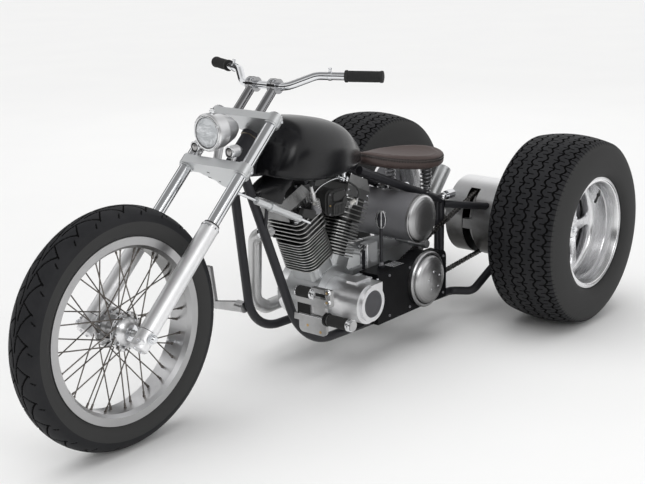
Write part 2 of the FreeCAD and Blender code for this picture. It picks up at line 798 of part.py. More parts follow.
def cylinder_heads():
    pitch = HEAD_H / HEAD_FINS
    heads = []
    for sign in (1, -1):
        core = rounded_plate(112, 146, 30, HEAD_H)
        core.translate(AXIS_Z * HEAD_LOW)
        fins = []
        for index in range(HEAD_FINS):
            fin = rounded_plate(136, 160, 24, FIN_T)
            fin.translate(AXIS_Z * (HEAD_LOW + pitch * (index + 0.3)))
            fins.append(fin)
        heads.append(in_bank(core.fuse(fins), sign))
    return Part.makeCompound(heads)


def head_space(sign):
    """The room of one head with its fins, grown by the fit."""
    room = rounded_plate(136 + 2 * FIT, 160 + 2 * FIT, 24, BARREL_H + HEAD_H)
    room.translate(AXIS_Z * DECK)
    return in_bank(room, sign)


def rocker_boxes():
    """Stepped covers on the heads; the front one reaches less far to the left."""
    steps = [(132, 0, 0), (132, 0, 34), (100, 12, ROCKER_H)]      # length, inset, height
    boxes = []
    for sign, left_y in ((1, 40), (-1, 66)):
        wires = []
        for length, inset, height in steps:
            z = ROCKER_LOW + height
            half = length / 2
            left = left_y - inset
            right = inset - ROCKER_HALF_W
            corners = [Vec(half, left, z), Vec(-half, left, z), Vec(-half, right, z), Vec(half, right, z)]
            wires.append(Part.makePolygon(corners + corners[:1]))
        boxes.append(in_bank(joined(lofted(wires[:2]), lofted(wires[1:])), sign))
    return Part.makeCompound(boxes)


COVER_R = 96.0
COVER_OUT_Y = 112.0


def cam_cover():
    """Right side timing cover with its round boss."""
    plate = rod(CRANK - AXIS_Y * (CASE_HALF_W + FIT), CRANK - AXIS_Y * COVER_OUT_Y, COVER_R)
    centre = CRANK + Vec(24, 0, 10)
    boss = rod(centre - AXIS_Y * (COVER_OUT_Y - 4), centre - AXIS_Y * (COVER_OUT_Y + 12), 42)
    rail = rod(RAIL_SPLIT_REAR, CRADLE_FRONT, TUBE_R + 2)
    return plate.fuse(boss).cut(mirrored(rail)).removeSplitter()


CARB_Z = HEAD_LOW + 74                 # along the middle of the V, from the crank


def carburettor():
    """Body in the V with its round left cover, the throat to the right and the air cleaner."""
    centre = CRANK + AXIS_Z * CARB_Z
    body = box(centre + Vec(-38, -70, -33), centre + Vec(38, 44, 33))
    cover = rod(centre + Vec(4, 40, -4), centre + Vec(4, 74, -4), 44)
    throat = rod(centre, centre - AXIS_Y * 124, 30)
    cleaner = rod(centre - AXIS_Y * 100, centre - AXIS_Y * 150, 58)
    manifold = rod(centre + Vec(-110, 0, -40), centre + Vec(110, 0, -40), 20)
    carb = body.makeFillet(10, edges_along(body, AXIS_Y)).fuse([cover, throat, cleaner, manifold])
    for sign in (1, -1):
        carb = carb.cut(head_space(sign)).cut(rocker_space(sign))
    return max(carb.Solids, key=lambda piece: piece.Volume)


def rocker_space(sign):
    room = Part.makeBox(132 + 2 * FIT, 200, ROCKER_H, Vec(-66 - FIT, -100, ROCKER_LOW))
    return in_bank(room, sign)


IGNITION_HALF_W = 44.0
IGNITION_OUTLINE = [
    # x, and height over the backbone's rear end
    (1050, 20), (1112, -22), (1131, -62), (1236, -10), (1262, 16), (1180, 44), (1110, 32),
]


def ignition_cover():
    """Black sheet cover between the downtubes, ahead of the front cylinder."""
    points = [at(x, -IGNITION_HALF_W, BACKBONE_REAR.z + rise) for x, rise in IGNITION_OUTLINE]
    cover = Part.Face(Part.makePolygon(points + points[:1])).extrude(AXIS_Y * (2 * IGNITION_HALF_W))
    cover = cover.makeFillet(6, edges_along(cover, AXIS_Y))
    return cover.cut(downtube_line(FIT)).cut(mirrored(downtube_line(FIT)))


TAP = at(800, 52, BACKBONE_REAR.z - 34)


def fuel_tap():
    """Tap under the tank's left rear, with its lever and the pipe that runs forward."""
    stem = Part.makeCylinder(7, 90, TAP)
    body = rod(TAP + Vec(-16, 0, 6), TAP + Vec(16, 0, 6), 11)
    lever = box(TAP + Vec(-4, 8, 2), TAP + Vec(4, 26, 8))
    route = [TAP + Vec(0, 0, 6), TAP + Vec(60, 4, 14), TAP + Vec(130, 4, 0), TAP + Vec(160, 0, -42)]
    pipe = bent_rod(route, [30, 30], 4.5)
    tap = stem.fuse([body, lever, pipe])
    for room in (tank_body(), rocker_space(1), rocker_space(-1), backbone_space()):
        tap = tap.cut(room)
    return max(tap.Solids, key=lambda piece: piece.Volume)


PUSHROD_Y = 93.0


def pushrod_tubes():
    tubes = []
    cover = rod(CRANK, CRANK - AXIS_Y * 2 * COVER_OUT_Y, COVER_R + FIT)
    for sign in (1, -1):
        for lean in (-24, 24):
            low = Vec(lean * 0.4, -PUSHROD_Y, COVER_R - 10)
            high = Vec(lean, -PUSHROD_Y, ROCKER_LOW + 20)
            tubes.append(in_bank(rod(low, high, 8), sign).cut(cover))
    return Part.makeCompound(tubes)


# ---------------------------------------------------------------- primary drive
PLATE_OUT_Y = PLATE_IN_Y + PLATE_T
COVER_FACE_Y = 201.0
CASE_LOW_Z = -104.0       # primary case's straight lower edge, from the crank
CASE_TOP_Z = 78.0


def housing_pad(low_y, high_y, grow):
    """The housing's squared upper corner, from one distance out to another."""
    return box(CRANK + Vec(PAD_REAR_X - grow, low_y, 0), CRANK + Vec(RIM_FRONT, high_y, PAD_Z + grow))


def motor_plate():
    """Black plate that carries the primary drive; the housing passes through its front end."""
    low = Vec(GEARBOX.x - 130, PLATE_IN_Y, CRANK.z + CASE_LOW_Z)
    high = Vec(CRANK.x - 30, PLATE_OUT_Y, CRANK.z + CASE_TOP_Z - 8)
    plate = box(low, high)
    plate = plate.makeFillet(30, edges_along(plate, AXIS_Y))
    barrel = rod(CRANK + AXIS_Y * PLATE_IN_Y, CRANK + AXIS_Y * PLATE_OUT_Y, HOUSING_R + FIT)
    housing = barrel.fuse(housing_pad(PLATE_IN_Y, PLATE_OUT_Y, FIT))
    return plate.cut(rod(RAIL_SPLIT_REAR, CRADLE_FRONT, TUBE_R + FIT)).cut(housing)


HOUSING_STEP = 9.0                     # the rim's step back from the bored face
PAD_REAR_X = -52.0                     # the flat pad's rear corner and height, from the crank
PAD_Z = 66.0
RIM_FRONT = 12.0                       # how far the stepped rim stands out ahead of the bore's ring


def ring_housing():
    """Machined housing outside the crank: a bored ring in a D-shaped body with a flat pad."""
    inner_y = CASE_HALF_W + FIT
    case_y = PLATE_OUT_Y + FIT
    ring = rod(CRANK + AXIS_Y * inner_y, CRANK + AXIS_Y * HOUSING_FACE_Y, HOUSING_R - RIM_FRONT / 2)
    neck = rod(CRANK + AXIS_Y * inner_y, CRANK + AXIS_Y * case_y, HOUSING_R)
    rim_centre = CRANK + AXIS_X * RIM_FRONT
    rim = rod(rim_centre + AXIS_Y * case_y, rim_centre + AXIS_Y * (HOUSING_FACE_Y - HOUSING_STEP), HOUSING_R)
    ledge_end = Vec(RIM_FRONT + 20, HOUSING_FACE_Y - 50, PAD_Z + 8)
    ledge = box(CRANK + Vec(PAD_REAR_X, case_y, PAD_Z - 1), CRANK + ledge_end)
    bore = rod(CRANK + AXIS_Y * (case_y + 20), CRANK + AXIS_Y * (HOUSING_FACE_Y + 10), HOUSING_BORE_R)
    body = ring.fuse([neck, rim, housing_pad(inner_y, HOUSING_FACE_Y, 0), ledge])
    boss = rod(CRANK + AXIS_Y * inner_y, CRANK + AXIS_Y * PLATE_IN_Y, SHAFT_BOSS_R + FIT)
    return body.cut(bore).cut(boss).removeSplitter()


def dome(radius, base, rise, steps):
    """Outline points of a shallow dome from its edge in to the middle."""
    turns = [math.radians(90 * index / steps) for index in range(steps)]
    return [(radius * math.cos(turn), base + rise * math.sin(turn)) for turn in turns] + [(0, base + rise)]


def clutch_cover():
    centre = Vec(GEARBOX.x, 0, GEARBOX.z)
    lip = CLUTCH_R
    base = COVER_FACE_Y + FIT
    profile = [(0, base), (lip, base), (lip, base + 13), (lip - 4, base + 17), (lip - 11, base + 17)]
    profile += [(lip - 12, base + 14)] + dome(lip - 14, base + 16, 29, 8)
    return turned(profile, centre, AXIS_Y)


CASE_PLATE_T = 18.0
DECK_IN_Y = 121.0         # the deck's inner edge, over the motor plate


def primary_case():
    """Outer plate with a straight lower edge, and the belt's housing behind it."""
    low = Vec(GEARBOX.x - 137, PLATE_OUT_Y + FIT, CRANK.z + CASE_LOW_Z)
    top = CRANK.z + CASE_TOP_Z
    front = CRANK.x + PAD_REAR_X - 20
    clutch_low = Vec(GEARBOX.x, low.y, GEARBOX.z)
    case = box(low, Vec(front, COVER_FACE_Y, top))
    case = case.makeFillet(30, edges_along(case, AXIS_Y)[:1])
    round_back = rod(clutch_low, Vec(GEARBOX.x, COVER_FACE_Y, GEARBOX.z), CLUTCH_R - 2)
    skirt = box(low, Vec(CRANK.x + 20, low.y + CASE_PLATE_T, CRANK.z - HOUSING_R - 4))
    deck = box(Vec(GEARBOX.x + 110, DECK_IN_Y, CRANK.z + CASE_TOP_Z - 8 + FIT), Vec(front, low.y + 4, top))
    return case.fuse([round_back, skirt, deck]).removeSplitter()


def gearbox():
    """The gearbox and its output sprocket inside the chain."""
    low = GEARBOX + Vec(-105, -90, -95)
    high = GEARBOX + Vec(110, CASE_HALF_W - FIT, 96)
    body = box(low, high)
    body = body.makeFillet(24, edges_along(body, AXIS_Y))
    shaft = rod(GEARBOX + AXIS_Y * (CASE_HALF_W - 5), GEARBOX + AXIS_Y * (PLATE_IN_Y - FIT), 24)
    sprocket_r = GEARBOX_SPROCKET_R - CHAIN_IN - FIT
    sprocket = rod(GEARBOX + AXIS_Y * (CHAIN_Y - 4), GEARBOX + AXIS_Y * (CHAIN_Y + 4), sprocket_r)
    lid = box(GEARBOX + Vec(-60, -40, 90), GEARBOX + Vec(80, CASE_HALF_W - FIT, 102))
    breather = rod(GEARBOX + Vec(-56, 40, 110.5), GEARBOX + Vec(-56, 172, 110.5), 11.5)
    web = box(GEARBOX + Vec(-66, 40, 92), GEARBOX + Vec(-46, 69, 108))
    return body.fuse([shaft, sprocket, lid, web, breather])


# ---------------------------------------------------------------- tanks, controls, exhaust
def oil_tank():
    centre = at(OIL_X, 0, OIL_Z)
    end = OIL_HALF_L - 8
    profile = [(0, -end - 20), (OIL_R * 0.6, -end - 14), (OIL_R, -end), (OIL_R, end), (0, end)]
    return turned(profile, centre, AXIS_Y)


def oil_tank_cap():
    centre = at(OIL_X, OIL_HALF_L - 8 + FIT, OIL_Z)
    profile = [(0, 0), (OIL_R + 2, 0), (OIL_R + 2, 6)] + dome(OIL_R - 1, 7, 20, 8)
    return turned(profile, centre, AXIS_Y)


LEVER = Vec(GEARBOX.x + 200, 156, CRANK.z + CASE_TOP_Z + FIT)
LEVER_H = 172.0


def hand_shift_lever():
    """Stalk on the primary case, with its foot and a tall faceted knob."""
    knob = LEVER + AXIS_Z * LEVER_H
    lever = rod(LEVER + AXIS_Z * 4, knob, 6)
    foot = Part.makeCylinder(13, 8, LEVER)
    grip = turned([(0, -28), (9, -28), (17, -18), (20, 6), (15, 24), (8, 31), (0, 31)], knob, AXIS_Z)
    return lever.fuse([grip, foot])


def shifter_bracket():
    """Machined block inboard of the lever, from the crankcase's left side up to the rear barrel."""
    low = Vec(LEVER.x - 30, CASE_HALF_W + 16, CRANK.z + CASE_TOP_Z - 22)
    post = box(low, low + Vec(62, 34, 106))
    post = post.makeFillet(5, edges_along(post, AXIS_Z))
    arm = box(low + Vec(30, -16 + FIT, 0), low + Vec(104, 4, 20))
    return post.fuse(arm)


PIPE_R = 24.0


def exhaust_pipes():
    front = [CRANK + Vec(158, -50, 262), CRANK + Vec(178, -134, 214), CRANK + Vec(166, -158, -20),
             CRANK + Vec(96, -172, -66), CRANK + Vec(-520, -196, -66)]
    rear = [CRANK + Vec(-150, -56, 262), CRANK + Vec(-212, -112, 250), CRANK + Vec(-226, -158, 60),
            CRANK + Vec(-560, -196, 24)]
    pipes = []
    for points, radii, sign in ((front, [34, 60, 60], 1), (rear, [34, 70], -1)):
        pipe = bent_rod(points, radii, PIPE_R).cut(head_space(sign))
        pipes.append(max(pipe.Solids, key=lambda piece: piece.Volume))
    return Part.makeCompound(pipes)


BAR_Z = 306.0            # left foot controls: the bar's lower edge
BAR_L = 144.0
BAR_T = 24.0
PEG_R = 17.5
FOOT_PLATE_DROP = 102.0  # the plate's lower edge under the bar


def downtube_place(z):
    """The middle of the left downtube's straight run at a height."""
    run = CRADLE_FRONT - DOWNTUBE_TOP
    return DOWNTUBE_TOP + run * ((z - DOWNTUBE_TOP.z) / run.z)


def foot_control_left():
    """Billet bar with the toe peg over it, hung from the plate that carries the rest peg."""
    tube = downtube_place(BAR_Z - 46)
    root = Vec(tube.x - BAR_T / 2, tube.y + 28, BAR_Z)
    bar = box(root, root + Vec(BAR_T, BAR_L, 27))
    bar = bar.makeFillet(9, edges_along(bar, AXIS_X))
    toe_start = root + Vec(12, 2, 34)
    toe_peg = rod(toe_start, toe_start + AXIS_Y * 72, PEG_R)
    toe_arm = box(root + Vec(3, 66, 20), root + Vec(21, 82, 58))
    upper_arm = box(root + Vec(3, 78, 45), root + Vec(21, BAR_L, 58))
    end_arm = box(root + Vec(3, BAR_L - 18, 10), root + Vec(21, BAR_L, 58))
    hanger = box(root + Vec(4, 72, -40), root + Vec(18, 120, 4))
    block = box(root + Vec(2, 8, -40), root + Vec(22, 62, 3))
    plate = box(root + Vec(6, 8, -FOOT_PLATE_DROP), root + Vec(16, 123, -34))
    plate = plate.makeFillet(18, edges_along(plate, AXIS_X))
    flange = box(root + Vec(6, 16, -42), root + Vec(24, 117, -34))
    lug = box(root + Vec(6, -38, -64), root + Vec(16, 20, -42))
    spindle = rod(root + Vec(12, 112, -42), root + Vec(12, 136, -42), 9)
    rest_start = root + Vec(12, 131, -42)
    rest_peg = rod(rest_start, rest_start + AXIS_Y * 100, PEG_R)
    arms = [toe_peg, toe_arm, upper_arm, end_arm]
    piece = bar.fuse(arms + [hanger, block, plate, flange, lug, spindle, rest_peg])
    return piece.cut(downtube_line(FIT))


def foot_control_right():
    """Brake lever: an upright pad arm, a cross arm and its pivot on the downtube."""
    tube = downtube_place(236)
    hub = Vec(tube.x + 12, -tube.y - 8, 236)
    pivot = rod(hub, hub - AXIS_Y * 34, 20)
    elbow = Vec(tube.x + 12, -tube.y - 149, 218)
    root_outline = ((-9, -18), (9, -18), (9, 18), (-9, 18), (-9, -18))
    end_outline = ((-7, -12), (7, -12), (7, 14), (-7, 14), (-7, -12))
    cross = lofted([
        Part.makePolygon([hub + Vec(dx, -20, dz) for dx, dz in root_outline]),
        Part.makePolygon([elbow + Vec(dx, 0, dz) for dx, dz in end_outline]),
    ])
    top = elbow + Vec(2, -22, 136)
    low_outline = ((-7, 10), (7, 10), (7, -14), (-7, -14), (-7, 10))
    pad_outline = ((-7, 12), (7, 12), (7, -12), (-7, -12), (-7, 12))
    arm = lofted([
        Part.makePolygon([elbow + Vec(dx, dy, -12) for dx, dy in low_outline]),
        Part.makePolygon([top + Vec(dx, dy, 0) for dx, dy in pad_outline]),
    ])
    return pivot.fuse([cross, arm]).cut(mirrored(downtube_line(FIT)))


def foot_controls():
    return Part.makeCompound([foot_control_left(), foot_control_right()])


# ---------------------------------------------------------------- rear axle
def axle_housing():
    """Two drums either side of the chain slot, joined behind it, and the axle tubes."""
    drum = rod(REAR_AXLE + AXIS_Y * 22, REAR_AXLE + AXIS_Y * 292, DRUM_R)
    slot_low = REAR_AXLE + AXIS_Y * (CHAIN_Y - SLOT_HALF_W)
    slot = rod(slot_low, slot_low + AXIS_Y * (2 * SLOT_HALF_W), DRUM_R + 20)
    reach = DRUM_R + 30
    back = box(REAR_AXLE + Vec(-reach, 0, -reach), REAR_AXLE + Vec(12 - DRUM_R, 400, reach))
    bridge_y = CHAIN_Y - SLOT_HALF_W - 2
    bridge_low = REAR_AXLE + Vec(SPROCKET_R - 2, bridge_y, -24)
    bridge_high = REAR_AXLE + Vec(DRUM_R - 3, bridge_y + 2 * SLOT_HALF_W + 4, 14)
    bridge = box(bridge_low, bridge_high)
    drum = drum.cut(slot.cut(back)).fuse(bridge)
    tube = rod(REAR_AXLE + AXIS_Y * 22, REAR_AXLE - AXIS_Y * 318, AXLE_TUBE_R)
    left = rod(REAR_AXLE + AXIS_Y * 292, REAR_AXLE + AXIS_Y * 318, AXLE_TUBE_R)
    shaft = rod(REAR_AXLE + AXIS_Y * 90, REAR_AXLE + AXIS_Y * 150, 40)
    return drum.fuse([tube, left, shaft]).removeSplitter()


CHAIN_OUT = 8.0           # chain's reach outside and inside its pitch line
CHAIN_IN = 5.0
CHAIN_HALF_W = 9.0


def rear_sprocket():
    inner = REAR_AXLE + AXIS_Y * (CHAIN_Y - 4)
    ring = rod(inner, inner + AXIS_Y * 8, SPROCKET_R - CHAIN_IN - FIT)
    return ring.cut(rod(REAR_AXLE + AXIS_Y * 60, REAR_AXLE + AXIS_Y * 180, 40 + FIT))


def chain_loop(extra, half_w):
    front = Vec(GEARBOX.x, CHAIN_Y, GEARBOX.z)
    rear = REAR_AXLE + AXIS_Y * CHAIN_Y
    face = loop_face(front, GEARBOX_SPROCKET_R + extra, rear, SPROCKET_R + extra)
    solid = face.extrude(AXIS_Y * (2 * half_w))
    solid.translate(AXIS_Y * -half_w)
    return solid


def drive_chain():
    """The closed loop about the two sprockets, as a band."""
    return chain_loop(CHAIN_OUT, CHAIN_HALF_W).cut(chain_loop(-CHAIN_IN, CHAIN_HALF_W + 3))


def loop_face(front, front_r, rear, rear_r):
    """The outline of a belt about two circles in a plane y = const."""
    span = front - rear
    tilt = math.atan2(span.z, span.x)
    spread = math.acos((rear_r - front_r) / span.Length)

    def on(centre, radius, angle):
        return centre + Vec(radius * math.cos(angle), 0, radius * math.sin(angle))

    top = tilt + spread
    low = tilt - spread
    wire = Part.Wire([
        Part.LineSegment(on(rear, rear_r, top), on(front, front_r, top)).toShape(),
        Part.Arc(on(front, front_r, top), on(front, front_r, tilt), on(front, front_r, low)).toShape(),
        Part.LineSegment(on(front, front_r, low), on(rear, rear_r, low)).toShape(),
        Part.Arc(on(rear, rear_r, low), on(rear, rear_r, tilt + math.pi), on(rear, rear_r, top)).toShape(),
    ])
    return Part.Face(wire)


def axle_stub(side):
    start = REAR_AXLE + Vec(0, side * (318 + FIT), 0)
    return rod(start, start + Vec(0, side * 150, 0), AXLE_R)


def rear_tyre(side):
    seat = REAR_RIM_FLANGE_R - BEAD_GAP + FIT
    bead_y = REAR_RIM_HALF_W - FLANGE_T - FIT
    lip = REAR_RIM_FLANGE_R + FIT + 1
    ring = tyre_ring(seat, bead_y, lip, 285, REAR_TYRE_HALF_W, REAR_TYRE_R - 16, 124, REAR_TYRE_R)
    return set_on(ring, REAR_AXLE + Vec(0, side * REAR_WHEEL_Y, 0), AXIS_Y)


def rear_rim(side):
    """Deep-dish barrel with five spokes about a hub."""
    flange = REAR_RIM_FLANGE_R
    seat = flange - BEAD_GAP
    half = REAR_RIM_HALF_W
    inner = half - FLANGE_T
    well = seat - 12
    profile = [
        (flange, half), (flange, inner), (seat, inner), (well, inner - 30),
        (well, 30 - inner), (seat, -inner), (flange, -inner), (flange, -half),
        (seat - RIM_WALL, -half), (well - RIM_WALL, 26 - inner),
        (well - RIM_WALL, inner - 26), (seat - RIM_WALL, half),
    ]
    barrel_ring = turned(profile, Vec(0, 0, 0), AXIS_Z)
    wheel = barrel_ring
    hub = Part.makeCylinder(62, 60, Vec(0, 0, -10))
    wheel = wheel.fuse(hub)
    for index in range(5):
        spoke = Part.makeBox(well - RIM_WALL + 2 - 40, 52, 26, Vec(40, -26, 8))
        spoke.rotate(Vec(0, 0, 0), AXIS_Z, 90 + 72 * index)
        wheel = wheel.fuse(spoke)
    wheel = wheel.cut(Part.makeCylinder(AXLE_R + RUN, 400, Vec(0, 0, -200)))
    return set_on(wheel.removeSplitter(), REAR_AXLE + Vec(0, side * REAR_WHEEL_Y, 0), AXIS_Y * side)


# ---------------------------------------------------------------- steering damper
DAMPER_BODY_R = 12.0
DAMPER_BODY_FRONT = 75.0       # ahead of the pivot
DAMPER_BODY_L = 215.0
DAMPER_ROD_R = 4.5
DAMPER_BALL_R = 9.0
DAMPER_RING_R = 15.0
DAMPER_PIVOT_BACK = 170.0     # eye to the body's pivot
PIVOT_GAP = 0.7
STEER_UP = (fork_at(0, 0, 1) - fork_at(0, 0, 0)).normalize()
DAMPER_EYE = fork_at(-40, 92, 540)
DAMPER_TAIL = at(1071, 110, 545)
DAMPER_DIR = (DAMPER_EYE - DAMPER_TAIL).normalize()
DAMPER_PIVOT = DAMPER_EYE - DAMPER_DIR * DAMPER_PIVOT_BACK
EYE_SWEEP = STEER_UP.cross(DAMPER_EYE - neck_axis(0))
EYE_SLIDE = EYE_SWEEP.dot(DAMPER_DIR)
EYE_LIFT = EYE_SWEEP - DAMPER_DIR * EYE_SLIDE
DAMPER_SWING = DAMPER_DIR.cross(EYE_LIFT).normalize()


def damper_body():
    """The cylinder, with the ring that it swings by."""
    front = DAMPER_PIVOT + DAMPER_DIR * DAMPER_BODY_FRONT
    back = front - DAMPER_DIR * DAMPER_BODY_L
    ring = rod(DAMPER_PIVOT + DAMPER_DIR * 9, DAMPER_PIVOT - DAMPER_DIR * 9, DAMPER_RING_R)
    bore = rod(front + DAMPER_DIR * 20, back - DAMPER_DIR * 20, DAMPER_ROD_R + RUN)
    return rod(front, back, DAMPER_BODY_R).fuse(ring).cut(bore)


def damper_rod():
    """The through rod with its ball end at the fork."""
    return rod(DAMPER_EYE, DAMPER_TAIL, DAMPER_ROD_R).fuse(Part.makeSphere(DAMPER_BALL_R, DAMPER_EYE))


def damper_arm():
    """The bracket from the left downtube to the damper's ring."""
    inward = DAMPER_SWING * (-1 if DAMPER_SWING.y > 0 else 1)
    face = DAMPER_PIVOT + inward * (DAMPER_RING_R + PIVOT_GAP)
    pad = rod(face, face + inward * 6, 8)
    anchor = on_line(DOWNTUBE_TOP, CRADLE_FRONT, DAMPER_PIVOT.x - REAR_X - 12)
    return pad.fuse(rod(face + inward * 5, anchor, 6))


def damper_lug():
    """The lug under the lower tree, beside the rod's ball end."""
    ball = FORK.inverse().multVec(DAMPER_EYE)
    outer = ball.y - DAMPER_BALL_R - PIVOT_GAP
    return box(Vec(ball.x - 9, outer - 9, ball.z - 10), Vec(10 - TREE_END_R, outer, LOWER_TREE_S))


# ---------------------------------------------------------------- nodes
def build():
    nodes = {
        "front_tyre": set_on(front_tyre(), FRONT_AXLE, AXIS_Y),
        "front_rim": front_rim(),
        "front_hub": front_hub(),
        "front_spokes": front_spokes(),
        "front_axle": front_axle(),
        "fork_sliders": fork_sliders(),
        "fork_tubes": fork_tubes(),
        "fork_caps": fork_caps(),
        "lower_triple_tree": lower_tree(),
        "upper_triple_tree": upper_tree(),
        "handlebar_risers": risers(),
        "handlebar": handlebar(),
        "handlebar_grips": grips(),
        "headlight_shell": headlight_shell(),
        "headlight_lens": headlight_lens(),
        "marker_lamps": marker_lamps(),
        "frame_backbone": frame_neck(),
        "frame_downtubes": frame_downtubes(),
        "frame_lower_rails": frame_lower_rails(),
        "frame_rear_rails": frame_rear_rails(),
        "frame_seat_rails": frame_seat_rails(),
        "frame_seat_posts": frame_seat_posts(),
        "frame_struts": frame_struts(),
        "frame_crossmember": frame_crossmember(),
        "rear_support_tube": rear_support_tube(),
        "rail_end_fittings": rail_end_fittings(),
        "fuel_tank": fuel_tank(),
        "fuel_tap": fuel_tap(),
        "seat": seat(),
        "seat_springs": seat_springs(),
        "crankcase": crankcase(),
        "cylinders": cylinders(),
        "cylinder_heads": cylinder_heads(),
        "rocker_boxes": rocker_boxes(),
        "cam_cover": cam_cover(),
        "carburettor": carburettor(),
        "pushrod_tubes": pushrod_tubes(),
        "ignition_cover": ignition_cover(),
        "motor_plate": motor_plate(),
        "ring_housing": ring_housing(),
        "clutch_cover": clutch_cover(),
        "primary_case": primary_case(),
        "gearbox": gearbox(),
        "oil_tank": oil_tank(),
        "oil_tank_cap": oil_tank_cap(),
        "hand_shift_lever": hand_shift_lever(),
        "shifter_bracket": shifter_bracket(),
        "exhaust_pipes": exhaust_pipes(),
        "foot_controls": foot_controls(),
        "axle_housing": axle_housing(),
        "axle_shafts": Part.makeCompound([axle_stub(1), axle_stub(-1)]),
        "rear_sprocket": rear_sprocket(),
        "drive_chain": drive_chain(),
        "damper_body": damper_body(),
        "damper_rod": damper_rod(),
    }
    for side, name in ((1, "left"), (-1, "right")):
        nodes[f"rear_tyre_{name}"] = rear_tyre(side)
        nodes[f"rear_rim_{name}"] = rear_rim(side)
    return nodes


for name, shape in build().items():
    print(name, len(shape.Solids), round(shape.Volume), shape.isValid())
    shape.exportStep(f"parts/{name}.step")
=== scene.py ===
"""Looks of the motorized trike, built around its fixed frame of exact parts."""

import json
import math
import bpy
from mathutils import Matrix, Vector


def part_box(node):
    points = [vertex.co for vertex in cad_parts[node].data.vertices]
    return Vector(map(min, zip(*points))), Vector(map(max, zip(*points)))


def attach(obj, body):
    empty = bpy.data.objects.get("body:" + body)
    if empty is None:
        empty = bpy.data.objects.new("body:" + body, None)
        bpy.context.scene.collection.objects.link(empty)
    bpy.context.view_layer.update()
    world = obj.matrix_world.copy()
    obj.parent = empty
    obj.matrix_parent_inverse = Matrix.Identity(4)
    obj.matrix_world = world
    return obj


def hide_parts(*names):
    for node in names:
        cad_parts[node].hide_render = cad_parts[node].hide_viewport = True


bl_info = {
    "name": "Motorized Trike",
    "version": (1, 0, 0),
    "blender": (4, 5, 0),
    "location": "3D View > Sidebar > Trike",
    "description": "Finishes and fine pieces of a motorized trike: tyres, saddle, chain, fasteners",
    "category": "Add Mesh",
}

import bmesh
import bpy
import numpy as np
from bpy.props import FloatProperty, FloatVectorProperty, IntProperty, PointerProperty
from mathutils import Matrix, Vector

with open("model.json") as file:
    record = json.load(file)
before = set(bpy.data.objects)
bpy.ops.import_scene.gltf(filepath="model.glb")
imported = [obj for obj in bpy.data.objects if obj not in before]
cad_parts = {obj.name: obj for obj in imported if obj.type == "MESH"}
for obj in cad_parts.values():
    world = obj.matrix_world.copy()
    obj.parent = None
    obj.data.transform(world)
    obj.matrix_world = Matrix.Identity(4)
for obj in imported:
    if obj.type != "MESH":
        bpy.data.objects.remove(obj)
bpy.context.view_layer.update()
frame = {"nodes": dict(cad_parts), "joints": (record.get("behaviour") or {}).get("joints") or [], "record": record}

MM = 0.001
TAU = 2 * math.pi
JOINTS = {joint["name"]: joint for joint in frame["joints"]}
FRONT_AXLE = Vector(JOINTS["front_wheel_spin"]["pos_m"])
REAR_LEFT = Vector(JOINTS["rear_wheel_left_spin"]["pos_m"])
REAR_RIGHT = Vector(JOINTS["rear_wheel_right_spin"]["pos_m"])
REAR_AXLE = Vector((REAR_LEFT.x, 0, REAR_LEFT.z))
LEG_UP = Vector(JOINTS["steering_turn"]["axis"]).normalized()
SIDE = Vector((0, 1, 0))
UP = Vector((0, 0, 1))
AHEAD = Vector((1, 0, 0))
LEG_AHEAD = SIDE.cross(LEG_UP)


def at(x, y, z):
    """A place in millimetres: x ahead of the rear axle, y to the left, z over the floor."""
    return Vector((REAR_AXLE.x + x * MM, y * MM, z * MM))


def on_leg(ahead, y, along):
    """A place in millimetres in the fork's own frame, from the front axle."""
    return FRONT_AXLE + LEG_AHEAD * (ahead * MM) + SIDE * (y * MM) + LEG_UP * (along * MM)


def middle(node):
    """The middle of a CAD node's box."""
    low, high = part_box(node)
    return (low + high) / 2


# ---------------------------------------------------------------- shader graph
class Value:
    """A shader socket; arithmetic on it adds the Math or Vector Math node it needs."""

    def __init__(self, graph, socket):
        self.graph = graph
        self.socket = socket

    def _joined(self, operation, first, second):
        vector = any(getattr(item, "is_vector", False) for item in (first, second))
        kind = "ShaderNodeVectorMath" if vector else "ShaderNodeMath"
        return self.graph.node(kind, {"operation": operation}, {0: first, 1: second})

    @property
    def is_vector(self):
        return self.socket.type == "VECTOR"

    def __add__(self, other):
        return self._joined("ADD", self, other)

    __radd__ = __add__

    def __sub__(self, other):
        return self._joined("SUBTRACT", self, other)

    def __rsub__(self, other):
        return self._joined("SUBTRACT", other, self)

    def __mul__(self, other):
        return self._joined("MULTIPLY", self, other)

    __rmul__ = __mul__

    def __truediv__(self, other):
        return self._joined("DIVIDE", self, other)


